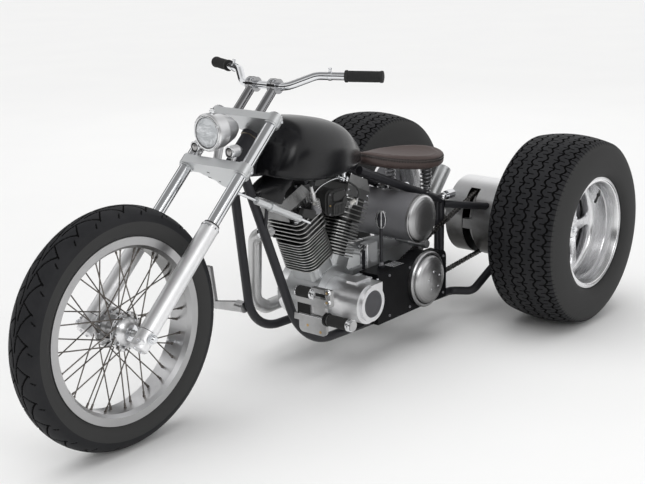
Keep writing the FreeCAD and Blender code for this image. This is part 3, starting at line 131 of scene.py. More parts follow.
class Graph:
    """The node tree of one finish."""

    def __init__(self, tree):
        self.tree = tree
        tree.nodes.clear()

    def node(self, kind, settings=None, inputs=None, output=0):
        """Adds a node: its settings first, then its sockets' values or links; gives one output."""
        made = self.tree.nodes.new(kind)
        for name, value in (settings or {}).items():
            if name == "stops":
                self._stops(made.color_ramp, value)
            else:
                setattr(made, name, value)
        for key, value in (inputs or {}).items():
            self.feed(made.inputs[key], value)
        return Value(self, made.outputs[output]) if made.outputs else None

    def feed(self, socket, value):
        if isinstance(value, Value):
            self.tree.links.new(value.socket, socket)
        elif socket.type == "RGBA":
            socket.default_value = (*value[:3], 1)
        elif socket.type == "VECTOR" and isinstance(value, (int, float)):
            socket.default_value = (value, value, value)
        else:
            socket.default_value = value

    @staticmethod
    def _stops(ramp, stops):
        while len(ramp.elements) < len(stops):
            ramp.elements.new(0.5)
        for element, (place, level) in zip(ramp.elements, stops):
            element.position = place
            element.color = (level, level, level, 1)

    def place(self):
        """The place on the piece, in metres of the row frame at rest."""
        return self.node("ShaderNodeTexCoord", output="Object")

    def noise(self, vector, scale, detail=3.0, rough=0.5):
        inputs = {"Vector": vector, "Scale": scale, "Detail": detail, "Roughness": rough}
        return self.node("ShaderNodeTexNoise", None, inputs)

    def cells(self, vector, scale, feature="F1"):
        inputs = {"Vector": vector, "Scale": scale}
        return self.node("ShaderNodeTexVoronoi", {"feature": feature}, inputs)

    def ramp(self, value, stops):
        return self.node("ShaderNodeValToRGB", {"stops": stops}, {0: value})

    def span(self, value, low, high, to_low=0.0, to_high=1.0):
        inputs = {0: value, 1: low, 2: high, 3: to_low, 4: to_high}
        return self.node("ShaderNodeMapRange", None, inputs)

    def tint(self, factor, first, second):
        """A colour between two, by a factor."""
        settings = {"data_type": "RGBA"}
        inputs = {"Factor": factor, 6: first, 7: second}
        return self.node("ShaderNodeMix", settings, inputs, 2)

    def bump(self, height, distance, strength=1.0, normal=None):
        inputs = {"Height": height, "Distance": distance, "Strength": strength}
        if normal is not None:
            inputs["Normal"] = normal
        return self.node("ShaderNodeBump", None, inputs)

    def turned_place(self, centre, across):
        """Place as (turn about an axle along Y or Z, radius, height), for lathe marks."""
        shifted = self.place() - tuple(centre)
        parts = self.tree.nodes.new("ShaderNodeSeparateXYZ")
        self.feed(parts.inputs[0], shifted)
        x, y, z = (Value(self, output) for output in parts.outputs)
        first, second, height = (x, z, y) if across == "Y" else (x, y, z)
        turn = self.node("ShaderNodeMath", {"operation": "ARCTAN2"}, {0: second, 1: first})
        square = first * first + second * second
        radius = self.node("ShaderNodeMath", {"operation": "SQRT"}, {0: square})
        return turn, radius, height

    def vector(self, x, y, z):
        return self.node("ShaderNodeCombineXYZ", None, {0: x, 1: y, 2: z})

    def surface(self, **sockets):
        """Principled surface; underscores in names stand for spaces."""
        inputs = {name.replace("_", " "): value for name, value in sockets.items()}
        shader = self.node("ShaderNodeBsdfPrincipled", None, inputs)
        self.node("ShaderNodeOutputMaterial", None, {"Surface": shader})


FINISHES = {}


def finish(name):
    """Decorator: the function below lays out the graph of the finish of this name, once."""
    def keep(layout):
        FINISHES[name] = layout
        return layout
    return keep


def get_finish(name):
    """The material of a finish, made when it is first asked for."""
    material = bpy.data.materials.get(name)
    if material is None:
        material = bpy.data.materials.new(name)
        material.use_nodes = True
        FINISHES[name](Graph(material.node_tree))
    return material


def metal(graph, colour, dark, rough, spread, grain, scale=60.0, height=0.00002, direction=None):
    """A bare metal: cloudy roughness, a fine grain and slightly duller patches."""
    place = graph.place()
    stretched = place * direction if direction else place
    cloud = graph.noise(place, 9.0, 4.0, 0.6)
    fine = graph.noise(stretched, scale, 3.0, 0.6)
    colour_mix = graph.tint(graph.span(cloud, 0.35, 0.7), colour, dark)
    roughness = graph.span(cloud * (1 - grain) + fine * grain, 0.3, 0.7, rough - spread, rough + spread)
    graph.surface(
        Base_Color=colour_mix, Metallic=1.0, Roughness=roughness,
        Normal=graph.bump(fine, height),
    )


@finish("polished_alloy")
def polished_alloy(graph):
    metal(graph, (0.66, 0.66, 0.67), (0.56, 0.56, 0.57), 0.22, 0.07, 0.35, 220.0, 0.00001)


@finish("wheel_alloy")
def wheel_alloy(graph):
    """Turned alloy: fine rings about each rear wheel's axle."""
    turn, radius, height = graph.turned_place(REAR_AXLE, "Y")
    rings = graph.noise(graph.vector(radius * 900.0, height * 900.0, turn * 0.6), 1.0, 3.0, 0.6)
    bands = graph.noise(graph.vector(radius * 120.0, height * 120.0, 0.0), 1.0, 2.0, 0.5)
    graph.surface(
        Base_Color=graph.tint(graph.span(bands, 0.35, 0.7), (0.93, 0.93, 0.94), (0.72, 0.72, 0.73)),
        Metallic=1.0,
        Roughness=graph.span(bands * 0.5 + rings * 0.5, 0.3, 0.7, 0.22, 0.32),
        Normal=graph.bump(rings, 0.00002),
    )


@finish("drum_alloy")
def drum_alloy(graph):
    """Turned drum: painted shade on what faces down, so it is bright on top and dark lower down."""
    turn, radius, height = graph.turned_place(REAR_AXLE, "Y")
    rings = graph.noise(graph.vector(radius * 700.0, height * 700.0, turn * 0.8), 1.0, 3.0, 0.6)
    cloud = graph.noise(graph.place(), 12.0, 4.0, 0.6)
    parts = graph.tree.nodes.new("ShaderNodeSeparateXYZ")
    graph.feed(parts.inputs[0], graph.node("ShaderNodeNewGeometry", output="Normal"))
    # Painted shade: the base colour runs from dark on down-facing normals to bright on up-facing ones.
    painted_light_share = graph.span(Value(graph, parts.outputs[2]) + cloud * 0.4, -0.2, 1.05)
    graph.surface(
        Base_Color=graph.tint(painted_light_share, (0.1, 0.098, 0.095), (0.92, 0.92, 0.93)), Metallic=1.0,
        Roughness=graph.span(cloud * 0.4 + rings * 0.6, 0.3, 0.7, 0.26, 0.38),
        Normal=graph.bump(rings, 0.00002),
    )


@finish("satin_alloy")
def satin_alloy(graph):
    metal(graph, (0.62, 0.62, 0.63), (0.5, 0.5, 0.51), 0.36, 0.08, 0.5, 500.0, 0.00002)


@finish("cast_alloy")
def cast_alloy(graph):
    place = graph.place()
    grain = graph.noise(place, 900.0, 3.0, 0.7)
    cloud = graph.noise(place, 14.0, 4.0, 0.6)
    colour = graph.tint(graph.span(cloud, 0.3, 0.7), (0.64, 0.64, 0.64), (0.46, 0.46, 0.455))
    graph.surface(
        Base_Color=colour, Metallic=1.0, Roughness=graph.span(cloud, 0.3, 0.7, 0.34, 0.5),
        Normal=graph.bump(grain, 0.00008),
    )


def finned(graph, half_x, half_y):
    """Painted shade in the gaps between the fins, by the distance from each cylinder's bore; the fin edges keep
    the bright bare metal.
    """
    offset = graph.place() - (REAR_AXLE.x + 897 * MM, 0.0, 245 * MM)
    parts = graph.tree.nodes.new("ShaderNodeSeparateXYZ")
    graph.feed(parts.inputs[0], offset)
    x, y, z = (Value(graph, output) for output in parts.outputs)
    lean = math.radians(22.5)
    beside = graph.node("ShaderNodeMath", {"operation": "ABSOLUTE"}, {0: x})
    ahead = beside * math.cos(lean) - z * math.sin(lean)
    shares = [ahead / (half_x * MM), y / (half_y * MM)]
    total = sum(share * share * share * share for share in shares)
    # Painted shade: near-black base colour deep in the fin gaps, bare metal colour at the fin edges.
    edge = graph.span(total, 0.66, 0.98)
    place = graph.place()
    grain = graph.noise(place, 900.0, 3.0, 0.7)
    cloud = graph.span(graph.noise(place, 16.0, 4.0, 0.6), 0.3, 0.7)
    bright = graph.tint(cloud, (0.62, 0.62, 0.61), (0.42, 0.42, 0.415))
    graph.surface(
        Base_Color=graph.tint(edge, (0.045, 0.045, 0.045), bright), Metallic=1.0,
        Roughness=graph.span(cloud, 0.0, 1.0, 0.3, 0.44), Normal=graph.bump(grain, 0.00006),
    )


@finish("barrel_fins")
def barrel_fins(graph):
    finned(graph, 71.0, 71.0)


@finish("head_fins")
def head_fins(graph):
    finned(graph, 68.0, 80.0)


@finish("bright_alloy")
def bright_alloy(graph):
    metal(graph, (0.86, 0.86, 0.87), (0.74, 0.74, 0.75), 0.36, 0.07, 0.5, 500.0, 0.00002)


@finish("turned_alloy")
def turned_alloy(graph):
    """Brushed covers: soft streaks, wide soft highlights and painted shade that darkens what faces down."""
    place = graph.place()
    streak = graph.noise(place * (40.0, 40.0, 900.0), 1.0, 3.0, 0.6)
    cloud = graph.noise(place, 9.0, 4.0, 0.6)
    parts = graph.tree.nodes.new("ShaderNodeSeparateXYZ")
    graph.feed(parts.inputs[0], graph.node("ShaderNodeNewGeometry", output="Normal"))
    # Painted shade: darker base colour where the normal turns down, bright where it faces up.
    painted_light_share = graph.span(Value(graph, parts.outputs[2]) + cloud * 0.3, -0.55, 0.75)
    bright = graph.tint(graph.span(cloud, 0.35, 0.7), (0.78, 0.78, 0.79), (0.64, 0.64, 0.65))
    graph.surface(
        Base_Color=graph.tint(painted_light_share, (0.15, 0.148, 0.145), bright), Metallic=1.0,
        Roughness=graph.span(cloud * 0.6 + streak * 0.4, 0.3, 0.7, 0.28, 0.38),
        Normal=graph.bump(streak, 0.00001),
    )


@finish("slider_alloy")
def slider_alloy(graph):
    metal(graph, (0.97, 0.97, 0.98), (0.88, 0.88, 0.89), 0.5, 0.05, 0.5, 700.0, 0.00002)


@finish("riser_chrome")
def riser_chrome(graph):
    metal(graph, (0.42, 0.42, 0.43), (0.34, 0.34, 0.35), 0.12, 0.04, 0.3, 120.0, 0.000005)


@finish("rocker_alloy")
def rocker_alloy(graph):
    metal(graph, (0.3, 0.3, 0.3), (0.2, 0.2, 0.2), 0.34, 0.08, 0.5, 500.0, 0.00003)


@finish("spoke_steel")
def spoke_steel(graph):
    metal(graph, (0.2, 0.185, 0.17), (0.12, 0.105, 0.095), 0.32, 0.08, 0.5, 600.0, 0.00002)


@finish("foot_alloy")
def foot_alloy(graph):
    metal(graph, (0.5, 0.5, 0.505), (0.34, 0.34, 0.34), 0.34, 0.08, 0.5, 500.0, 0.00002)


@finish("chrome")
def chrome(graph):
    metal(graph, (0.72, 0.72, 0.73), (0.64, 0.64, 0.65), 0.07, 0.03, 0.3, 120.0, 0.000005)


@finish("stainless")
def stainless(graph):
    metal(graph, (0.36, 0.355, 0.345), (0.25, 0.245, 0.235), 0.26, 0.08, 0.5, 600.0, 0.00002)


@finish("gunmetal")
def gunmetal(graph):
    metal(graph, (0.13, 0.13, 0.135), (0.065, 0.065, 0.067), 0.3, 0.07, 0.4, 300.0, 0.00002)


@finish("spring_steel")
def spring_steel(graph):
    metal(graph, (0.3, 0.3, 0.31), (0.16, 0.16, 0.165), 0.3, 0.08, 0.5, 400.0, 0.00002)


@finish("chain_steel")
def chain_steel(graph):
    metal(graph, (0.16, 0.155, 0.15), (0.07, 0.067, 0.062), 0.38, 0.08, 0.5, 500.0, 0.00002)


@finish("chain_pin")
def chain_pin(graph):
    metal(graph, (0.42, 0.41, 0.4), (0.26, 0.25, 0.24), 0.28, 0.07, 0.4, 400.0, 0.00001)


@finish("brass")
def brass(graph):
    metal(graph, (0.62, 0.43, 0.2), (0.42, 0.28, 0.12), 0.3, 0.08, 0.4, 300.0, 0.00002)


@finish("aged_steel")
def aged_steel(graph):
    metal(graph, (0.36, 0.32, 0.25), (0.2, 0.16, 0.11), 0.38, 0.08, 0.5, 300.0, 0.00004)


# Near-black metal, used mostly as painted shade in slots, holes, grooves and recesses.
@finish("slot_black")
def slot_black(graph):
    metal(graph, (0.035, 0.035, 0.036), (0.02, 0.02, 0.02), 0.45, 0.08, 0.5, 300.0, 0.00003)


@finish("lamp_mirror")
def lamp_mirror(graph):
    metal(graph, (0.8, 0.8, 0.82), (0.7, 0.7, 0.72), 0.1, 0.04, 0.3, 60.0, 0.00002)


@finish("plug_white")
def plug_white(graph):
    place = graph.place()
    smear = graph.noise(place, 90.0, 3.0, 0.6)
    graph.surface(
        Base_Color=graph.tint(graph.span(smear, 0.35, 0.7), (0.72, 0.71, 0.68), (0.5, 0.48, 0.44)),
        Roughness=graph.span(smear, 0.3, 0.7, 0.16, 0.3), Normal=graph.bump(smear, 0.00004),
    )


@finish("lens_clear")
def lens_clear(graph):
    place = graph.place()
    smear = graph.noise(place, 40.0, 3.0, 0.6)
    graph.surface(
        Base_Color=graph.tint(smear, (0.3, 0.29, 0.29), (0.5, 0.49, 0.49)), Metallic=0.6,
        Roughness=graph.span(smear, 0.3, 0.7, 0.08, 0.16), Coat_Weight=0.6, Coat_Roughness=0.03,
    )


@finish("saddle_welt")
def saddle_welt(graph):
    place = graph.place()
    grain = graph.noise(place, 500.0, 3.0, 0.6)
    cloud = graph.noise(place, 12.0, 3.0, 0.6)
    graph.surface(
        Base_Color=graph.tint(graph.span(cloud, 0.3, 0.7), (0.03, 0.024, 0.022), (0.06, 0.048, 0.043)),
        Roughness=graph.span(cloud, 0.3, 0.7, 0.3, 0.45), Normal=graph.bump(grain, 0.0001),
    )


@finish("satin_black")
def satin_black(graph):
    paint = bpy.context.scene.trike_colours.paint
    place = graph.place()
    peel = graph.noise(place, 260.0, 2.0, 0.5)
    cloud = graph.noise(place, 6.0, 3.0, 0.6)
    dust = graph.noise(place, 1400.0, 2.0, 0.7)
    colour = graph.tint(graph.span(cloud, 0.35, 0.75), paint, [1.5 * level for level in paint])
    graph.surface(
        Base_Color=colour, Specular_IOR_Level=0.1, Normal=graph.bump(peel, 0.00003),
        Roughness=graph.span(cloud * 0.7 + dust * 0.3, 0.3, 0.7, 0.32, 0.44),
    )


@finish("case_black")
def case_black(graph):
    place = graph.place()
    grain = graph.noise(place, 700.0, 3.0, 0.6)
    cloud = graph.noise(place, 9.0, 4.0, 0.6)
    colour = graph.tint(graph.span(cloud, 0.3, 0.7), (0.0035, 0.0035, 0.0042), (0.008, 0.008, 0.0088))
    graph.surface(
        Base_Color=colour, Specular_IOR_Level=0.08, Roughness=graph.span(cloud, 0.3, 0.7, 0.3, 0.45),
        Normal=graph.bump(grain, 0.00004),
    )


@finish("tank_paint")
def tank_paint(graph):
    """Gloss black sheet metal under a thin clear coat with a little orange peel."""
    paint = bpy.context.scene.trike_colours.paint
    place = graph.place()
    peel = graph.noise(place, 140.0, 2.0, 0.5)
    cloud = graph.noise(place, 5.0, 3.0, 0.6)
    dust = graph.noise(place, 1200.0, 2.0, 0.7)
    colour = graph.tint(graph.span(cloud, 0.35, 0.75), [0.6 * level for level in paint], paint)
    graph.surface(
        Base_Color=colour, Specular_IOR_Level=0.32, Normal=graph.bump(peel, 0.00003),
        Roughness=graph.span(cloud * 0.7 + dust * 0.3, 0.3, 0.7, 0.2, 0.3),
    )


@finish("black_plastic")
def black_plastic(graph):
    place = graph.place()
    grain = graph.noise(place, 700.0, 3.0, 0.6)
    cloud = graph.noise(place, 8.0, 3.0, 0.6)
    colour = graph.tint(graph.span(cloud, 0.3, 0.7), (0.008, 0.008, 0.009), (0.014, 0.014, 0.015))
    graph.surface(
        Base_Color=colour, Specular_IOR_Level=0.15, Roughness=graph.span(cloud, 0.3, 0.7, 0.42, 0.58),
        Normal=graph.bump(grain, 0.00008),
    )


@finish("grip_rubber")
def grip_rubber(graph):
    place = graph.place()
    grain = graph.noise(place, 900.0, 3.0, 0.6)
    cloud = graph.noise(place, 20.0, 3.0, 0.6)
    colour = graph.tint(graph.span(cloud, 0.3, 0.7), (0.01, 0.01, 0.011), (0.02, 0.02, 0.021))
    graph.surface(
        Base_Color=colour, Specular_IOR_Level=0.25, Roughness=graph.span(cloud, 0.3, 0.7, 0.5, 0.68),
        Normal=graph.bump(grain, 0.0001),
    )


@finish("tyre_rubber")
def tyre_rubber(graph):
    place = graph.place()
    grain = graph.noise(place, 800.0, 3.0, 0.65)
    cloud = graph.noise(place, 7.0, 4.0, 0.6)
    colour = graph.tint(graph.span(cloud, 0.3, 0.7), (0.0042, 0.0044, 0.0052), (0.008, 0.0082, 0.009))
    rough = graph.span(cloud * 0.6 + grain * 0.4, 0.3, 0.7, 0.4, 0.56)
    graph.surface(
        Base_Color=colour, Specular_IOR_Level=0.07, Roughness=rough, Normal=graph.bump(grain, 0.0001),
    )


@finish("tread_rubber")
def tread_rubber(graph):
    place = graph.place()
    grain = graph.noise(place, 900.0, 3.0, 0.65)
    cloud = graph.noise(place, 11.0, 4.0, 0.65)
    colour = graph.tint(graph.span(cloud, 0.3, 0.7), (0.012, 0.0124, 0.0142), (0.022, 0.022, 0.024))
    rough = graph.span(cloud * 0.6 + grain * 0.4, 0.3, 0.7, 0.5, 0.68)
    graph.surface(
        Base_Color=colour, Specular_IOR_Level=0.2, Roughness=rough, Normal=graph.bump(grain, 0.00015),
    )


@finish("tread_groove")
def tread_groove(graph):
    place = graph.place()
    grain = graph.noise(place, 500.0, 3.0, 0.65)
    graph.surface(
        Base_Color=graph.tint(grain, (0.002, 0.002, 0.002), (0.006, 0.006, 0.006)), Specular_IOR_Level=0.1,
        Roughness=graph.span(grain, 0.3, 0.7, 0.7, 0.9), Normal=graph.bump(grain, 0.0001),
    )


@finish("saddle_leather")
def saddle_leather(graph):
    place = graph.place()
    pebble = graph.cells(place, 420.0)
    crease = graph.noise(place, 60.0, 4.0, 0.65)
    parts = graph.tree.nodes.new("ShaderNodeSeparateXYZ")
    graph.feed(parts.inputs[0], graph.node("ShaderNodeNewGeometry", output="Normal"))
    # Painted sheen: the leather takes its light colour where it faces up and a dark brown on the sides.
    upward = graph.span(Value(graph, parts.outputs[2]), 0.5, 0.95)
    cloud = graph.span(graph.noise(place, 9.0, 4.0, 0.6), 0.3, 0.7)
    leather = bpy.context.scene.trike_colours.leather
    painted_sheen = graph.tint(cloud, [0.75 * level for level in leather], leather)
    colour = graph.tint(upward, (0.017, 0.012, 0.011), painted_sheen)
    rough = graph.span(crease, 0.3, 0.7, 0.26, 0.4)
    graph.surface(
        Base_Color=colour, Roughness=rough, Coat_Weight=0.25, Coat_Roughness=0.25,
        Normal=graph.bump(pebble * 0.7 + crease * 0.5, 0.00025),
    )


@finish("lamp_glass")
def lamp_glass(graph):
    """Thin clear glass: mostly see-through, with a faint smear."""
    place = graph.place()
    ripple = graph.noise(place, 60.0, 2.0, 0.5)
    smear = graph.noise(place, 25.0, 3.0, 0.6)
    graph.surface(
        Base_Color=graph.tint(smear, (0.75, 0.77, 0.78), (0.85, 0.86, 0.87)),
        Alpha=graph.span(smear, 0.3, 0.7, 0.08, 0.2),
        Roughness=graph.span(smear, 0.3, 0.7, 0.02, 0.06), Specular_IOR_Level=0.8,
        Normal=graph.bump(ripple, 0.00005),
    )


@finish("studio_paper")
def studio_paper(graph):
    place = graph.place()
    mottle = graph.noise(place, 1.5, 3.0, 0.5)
    colour = graph.tint(mottle, (0.83, 0.83, 0.83), (0.86, 0.86, 0.855))
    grain = graph.noise(place, 300.0)
    graph.surface(Base_Color=colour, Roughness=0.95, Specular_IOR_Level=0.0, Normal=graph.bump(grain, 0.0001))


@finish("card_black")
def card_black(graph):
    mottle = graph.noise(graph.place(), 2.0, 3.0, 0.5)
    colour = graph.tint(mottle, (0.02, 0.02, 0.02), (0.04, 0.04, 0.04))
    graph.surface(Base_Color=colour, Roughness=graph.span(mottle, 0.3, 0.7, 0.8, 0.95))


# ---------------------------------------------------------------- mesh making
def axes_of(direction):
    """Two unit vectors square to a direction."""
    direction = Vector(direction).normalized()
    first = direction.cross(UP if abs(direction.z) < 0.9 else AHEAD).normalized()
    return first, direction.cross(first)


def arc(first, through, last, count):
    """Places along the circle's arc through three plane points."""
    (ax, ay), (bx, by), (cx, cy) = first, through, last
    double = 2 * (ax * (by - cy) + bx * (cy - ay) + cx * (ay - by))
    sq_a, sq_b, sq_c = ax * ax + ay * ay, bx * bx + by * by, cx * cx + cy * cy
    ux = (sq_a * (by - cy) + sq_b * (cy - ay) + sq_c * (ay - by)) / double
    uy = (sq_a * (cx - bx) + sq_b * (ax - cx) + sq_c * (bx - ax)) / double
    start, mid, end = (math.atan2(y - uy, x - ux) for x, y in (first, through, last))
    sweep = (end - start) % TAU
    if (mid - start) % TAU > sweep:
        sweep -= TAU
    radius = math.hypot(ax - ux, ay - uy)
    turns = [start + sweep * step / count for step in range(count + 1)]
    return [(ux + radius * math.cos(turn), uy + radius * math.sin(turn)) for turn in turns]


def ring(radius, sides, phase=0.0):
    """A regular outline in millimetres."""
    return [
        (radius * math.cos(phase + TAU * side / sides), radius * math.sin(phase + TAU * side / sides))
        for side in range(sides)
    ]


def inset(outline, amount):
    """An outline moved inward along its corners' bisectors."""
    moved = []
    for index, (x, y) in enumerate(outline):
        before = Vector(outline[index - 1])
        after = Vector(outline[(index + 1) % len(outline)])
        here = Vector((x, y))
        into, out = (here - before).normalized(), (after - here).normalized()
        normal = Vector((-(into + out).y, (into + out).x))
        if normal.length < 1e-9:
            normal = Vector((-into.y, into.x))
        normal.normalize()
        stretch = max(normal.dot(Vector((-into.y, into.x))), 0.4)
        moved.append(tuple(here + normal * (amount / stretch)))
    return moved


def smooth_path(points, steps):
    """A smooth line through places."""
    points = [Vector(point) for point in points]
    padded = [points[0] * 2 - points[1]] + points + [points[-1] * 2 - points[-2]]
    line = []
    for a, b, c, d in zip(padded, padded[1:], padded[2:], padded[3:]):
        for step in range(steps):
            t = step / steps
            line.append(0.5 * (2 * b + (c - a) * t + (2 * a - 5 * b + 4 * c - d) * t * t
                               + (3 * b - a - 3 * c + d) * t ** 3))
    return line + [points[-1]]


class Shell:
    """Gathers the skins of one piece and makes a single object of them."""

    def __init__(self):
        self.points = []
        self.faces = []
        self.marks = []
        self.count = 0

    def add(self, points, faces, mark=0):
        points = np.asarray(points, float).reshape(-1, 3)
        self.faces += [[index + self.count for index in face] for face in faces]
        self.marks += [mark] * len(faces)
        self.points.append(points)
        self.count += len(points)

    def grid(self, rows, wrap_rows=False, wrap_columns=False, mark=0):
        """A skin over rows of places, closed on itself where it wraps."""
        rows = np.asarray(rows, float)
        tall, wide = rows.shape[:2]
        row = np.arange(tall if wrap_rows else tall - 1)[:, None]
        column = np.arange(wide if wrap_columns else wide - 1)[None, :]
        next_row, next_column = (row + 1) % tall, (column + 1) % wide
        corners = (
            row * wide + column, row * wide + next_column,
            next_row * wide + next_column, next_row * wide + column,
        )
        faces = np.stack([np.broadcast_to(corner, (row.size, column.size)) for corner in corners], -1)
        self.add(rows, faces.reshape(-1, 4).tolist(), mark)

    def lathe(self, profile, base, axis, sides=32, mark=0):
        """A profile of (radius, height) in millimetres turned about an axis."""
        axis = Vector(axis).normalized()
        first, second = axes_of(axis)
        turn = np.arange(sides) * TAU / sides
        around = np.cos(turn)[:, None] * np.array(first) + np.sin(turn)[:, None] * np.array(second)
        rows = [
            np.array(base) + np.array(axis) * (height * MM) + around * (max(radius, 0.001) * MM)
            for radius, height in profile
        ]
        self.grid(rows, wrap_columns=True, mark=mark)

    def tube(self, path, radius, sides=10, closed=False, mark=0):
        """A round rod along places in metres; radius in millimetres, one or a list."""
        path = [Vector(point) for point in path]
        count = len(path)
        radii = radius if isinstance(radius, (list, tuple)) else [radius] * count
        side = None
        rows = []
        for index, point in enumerate(path):
            before = path[index - 1] if index or closed else point
            after = path[(index + 1) % count] if index < count - 1 or closed else point
            along = (after - before).normalized()
            if side is None:
                side = axes_of(along)[0]
            side = (side - along * side.dot(along)).normalized()
            other = along.cross(side)
            turns = [TAU * step / sides for step in range(sides)]
            rows.append([
                point + (side * math.cos(turn) + other * math.sin(turn)) * (radii[index] * MM)
                for turn in turns
            ])
        start = self.count
        self.grid([[tuple(place) for place in row] for row in rows], closed, True, mark)
        if not closed:
            self.faces += [list(range(start + sides - 1, start - 1, -1))]
            last = start + (count - 1) * sides
            self.faces += [list(range(last, last + sides))]
            self.marks += [mark, mark]

    def prism(self, outline, base, axis, depth, chamfer=0.0, first=None, mark=0):
        """A plate: an outline in millimetres, raised along an axis, with broken edges."""
        axis = Vector(axis).normalized()
        if first is None:
            first = axes_of(axis)[0]
        first = Vector(first).normalized()
        second = axis.cross(first)
        levels = [(outline, 0.0), (outline, depth)]
        if chamfer:
            small = inset(outline, chamfer)
            levels = [(small, 0.0), (outline, chamfer), (outline, depth - chamfer), (small, depth)]
        rows = [
            [tuple(Vector(base) + (first * x + second * y + axis * height) * MM) for x, y in points]
            for points, height in levels
        ]
        start, wide = self.count, len(outline)
        self.grid(rows, wrap_columns=True, mark=mark)
        last = start + (len(levels) - 1) * wide
        self.faces += [list(range(start + wide - 1, start - 1, -1)), list(range(last, last + wide))]
        self.marks += [mark, mark]

    def cap_screw(self, base, axis, radius, mark=0, height=None):
        """A socket-headed screw's head."""
        tall = height or 0.9 * radius
        edge = 0.12 * radius
        profile = [
            (radius, 0), (radius, tall - edge), (radius - edge, tall), (0.56 * radius, tall),
            (0.5 * radius, tall - edge), (0.5 * radius, 0.35 * tall), (0, 0.35 * tall),
        ]
        self.lathe(profile, base, axis, 18, mark)

    def hex_head(self, base, axis, radius, height, mark=0, turn=0.0):
        """A six-sided head on its washer."""
        washer = [(1.25 * radius, 0), (1.25 * radius, 0.16 * height), (0, 0.16 * height)]
        self.lathe(washer, base, axis, 20, mark)
        base = Vector(base) + Vector(axis).normalized() * (0.14 * height * MM)
        self.prism(ring(radius, 6, turn), base, axis, 0.86 * height, 0.1 * radius, mark=mark)

    def make(self, name, body, finishes, replaces=(), sharp=38.0, merge=True):
        """One object that rides on a body."""
        mesh = bpy.data.meshes.new(name)
        mesh.from_pydata(np.concatenate(self.points).tolist(), [], self.faces)
        for finish_name in finishes:
            mesh.materials.append(get_finish(finish_name))
        mesh.polygons.foreach_set("material_index", self.marks)
        if merge:
            skin = bmesh.new()
            skin.from_mesh(mesh)
            bmesh.ops.remove_doubles(skin, verts=skin.verts, dist=2e-6)
            bmesh.ops.recalc_face_normals(skin, faces=skin.faces)
            skin.to_mesh(mesh)
            skin.free()
        mesh.polygons.foreach_set("use_smooth", [True] * len(mesh.polygons))
        mesh.set_sharp_from_angle(angle=math.radians(sharp))
        piece = bpy.data.objects.new(name, mesh)
        bpy.context.scene.collection.objects.link(piece)
        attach(piece, body)
        if replaces:
            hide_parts(*replaces)
        return piece


def axle_place(centre, radius, turn, y):
    """A place about a wheel's axle, in millimetres from its centre."""
    return centre + Vector((radius * math.cos(turn), y, radius * math.sin(turn))) * MM


# ---------------------------------------------------------------- settings
class TrikeTyres(bpy.types.PropertyGroup):
    front_steps: IntProperty(
        name="Front steps", description="Rows of the front tyre's skin round the wheel",
        default=1040, min=200,
    )
    front_groove: FloatProperty(
        name="Front groove", description="Depth of the front tread", default=4.5 * MM, unit="LENGTH",
    )
    rear_groove: FloatProperty(
        name="Rear groove", description="Depth of the rear tread", default=5.5 * MM, unit="LENGTH",
    )


class TrikeColours(bpy.types.PropertyGroup):
    paint: FloatVectorProperty(
        name="Paint", description="Tank and frame paint", default=(0.009, 0.009, 0.0105),
        subtype="COLOR", size=3, min=0, max=1,
    )
    # Colour of the up-facing leather, lightened as painted sheen; the sides take a fixed dark brown.
    leather: FloatVectorProperty(
        name="Leather", description="Saddle leather where it is worn", default=(0.26, 0.235, 0.22),
        subtype="COLOR", size=3, min=0, max=1,
    )


class TrikeStage(bpy.types.PropertyGroup):
    sun: FloatProperty(
        name="Overhead light", description="Strength of the soft overhead light",
        default=1.5, min=0,
    )
    sky: FloatProperty(
        name="Surrounding light", description="Strength of the studio's even light",
        default=0.6, min=0,
    )
    backdrop: FloatProperty(
        name="Backdrop", description="Brightness of the pale backdrop",
        default=0.92, min=0,
    )


# ---------------------------------------------------------------- groups
FINER = {
    # nodes whose surface differs from the rest of their material slot
    "cylinders": "barrel_fins", "cylinder_heads": "head_fins", "clutch_cover": "turned_alloy",
    "oil_tank_cap": "turned_alloy", "axle_housing": "drum_alloy", "lower_triple_tree": "satin_alloy",
    "upper_triple_tree": "satin_alloy", "front_rim": "turned_alloy", "front_hub": "turned_alloy",
    "fork_sliders": "slider_alloy", "headlight_shell": "bright_alloy", "marker_lamps": "bright_alloy",
    "ring_housing": "bright_alloy", "foot_controls": "foot_alloy", "front_spokes": "spoke_steel",
    "handlebar_risers": "riser_chrome", "rocker_boxes": "rocker_alloy", "primary_case": "case_black",
}


class TRIKE_OT_finishes(bpy.types.Operator):
    """Give each exact part the finish of its material slot"""
    bl_idname = "trike.finishes"
    bl_label = "Part finishes"

    def execute(self, context):
        for entry in frame["record"]["subparts"]:
            part = frame["nodes"][entry["node"]]
            material = get_finish(FINER.get(entry["node"], entry["material_slot"]))
            part.data.materials.clear()
            part.data.materials.append(material)
        return {"FINISHED"}


# ---------------------------------------------------------------- tyres
def tyre_section(bead_r, bead_y, lip_r, half_w, shoulder_r, shoulder_y, wall_steps):
    """Left wall from the bead to the shoulder, as (radius, y)."""
    bulge_r = (lip_r + shoulder_r) / 2
    wall = arc((lip_r, bead_y), (bulge_r, half_w), (shoulder_r, shoulder_y), wall_steps)
    return [(bead_r, bead_y)] + wall


def crown_radius(shoulder_r, shoulder_y, crown_r, y):
    """The crown's radius at a distance from the middle, on the arc through both shoulders."""
    drop = crown_r - shoulder_r
    curve = (shoulder_y ** 2 + drop ** 2) / (2 * drop)
    return crown_r - curve + math.sqrt(curve ** 2 - y ** 2)


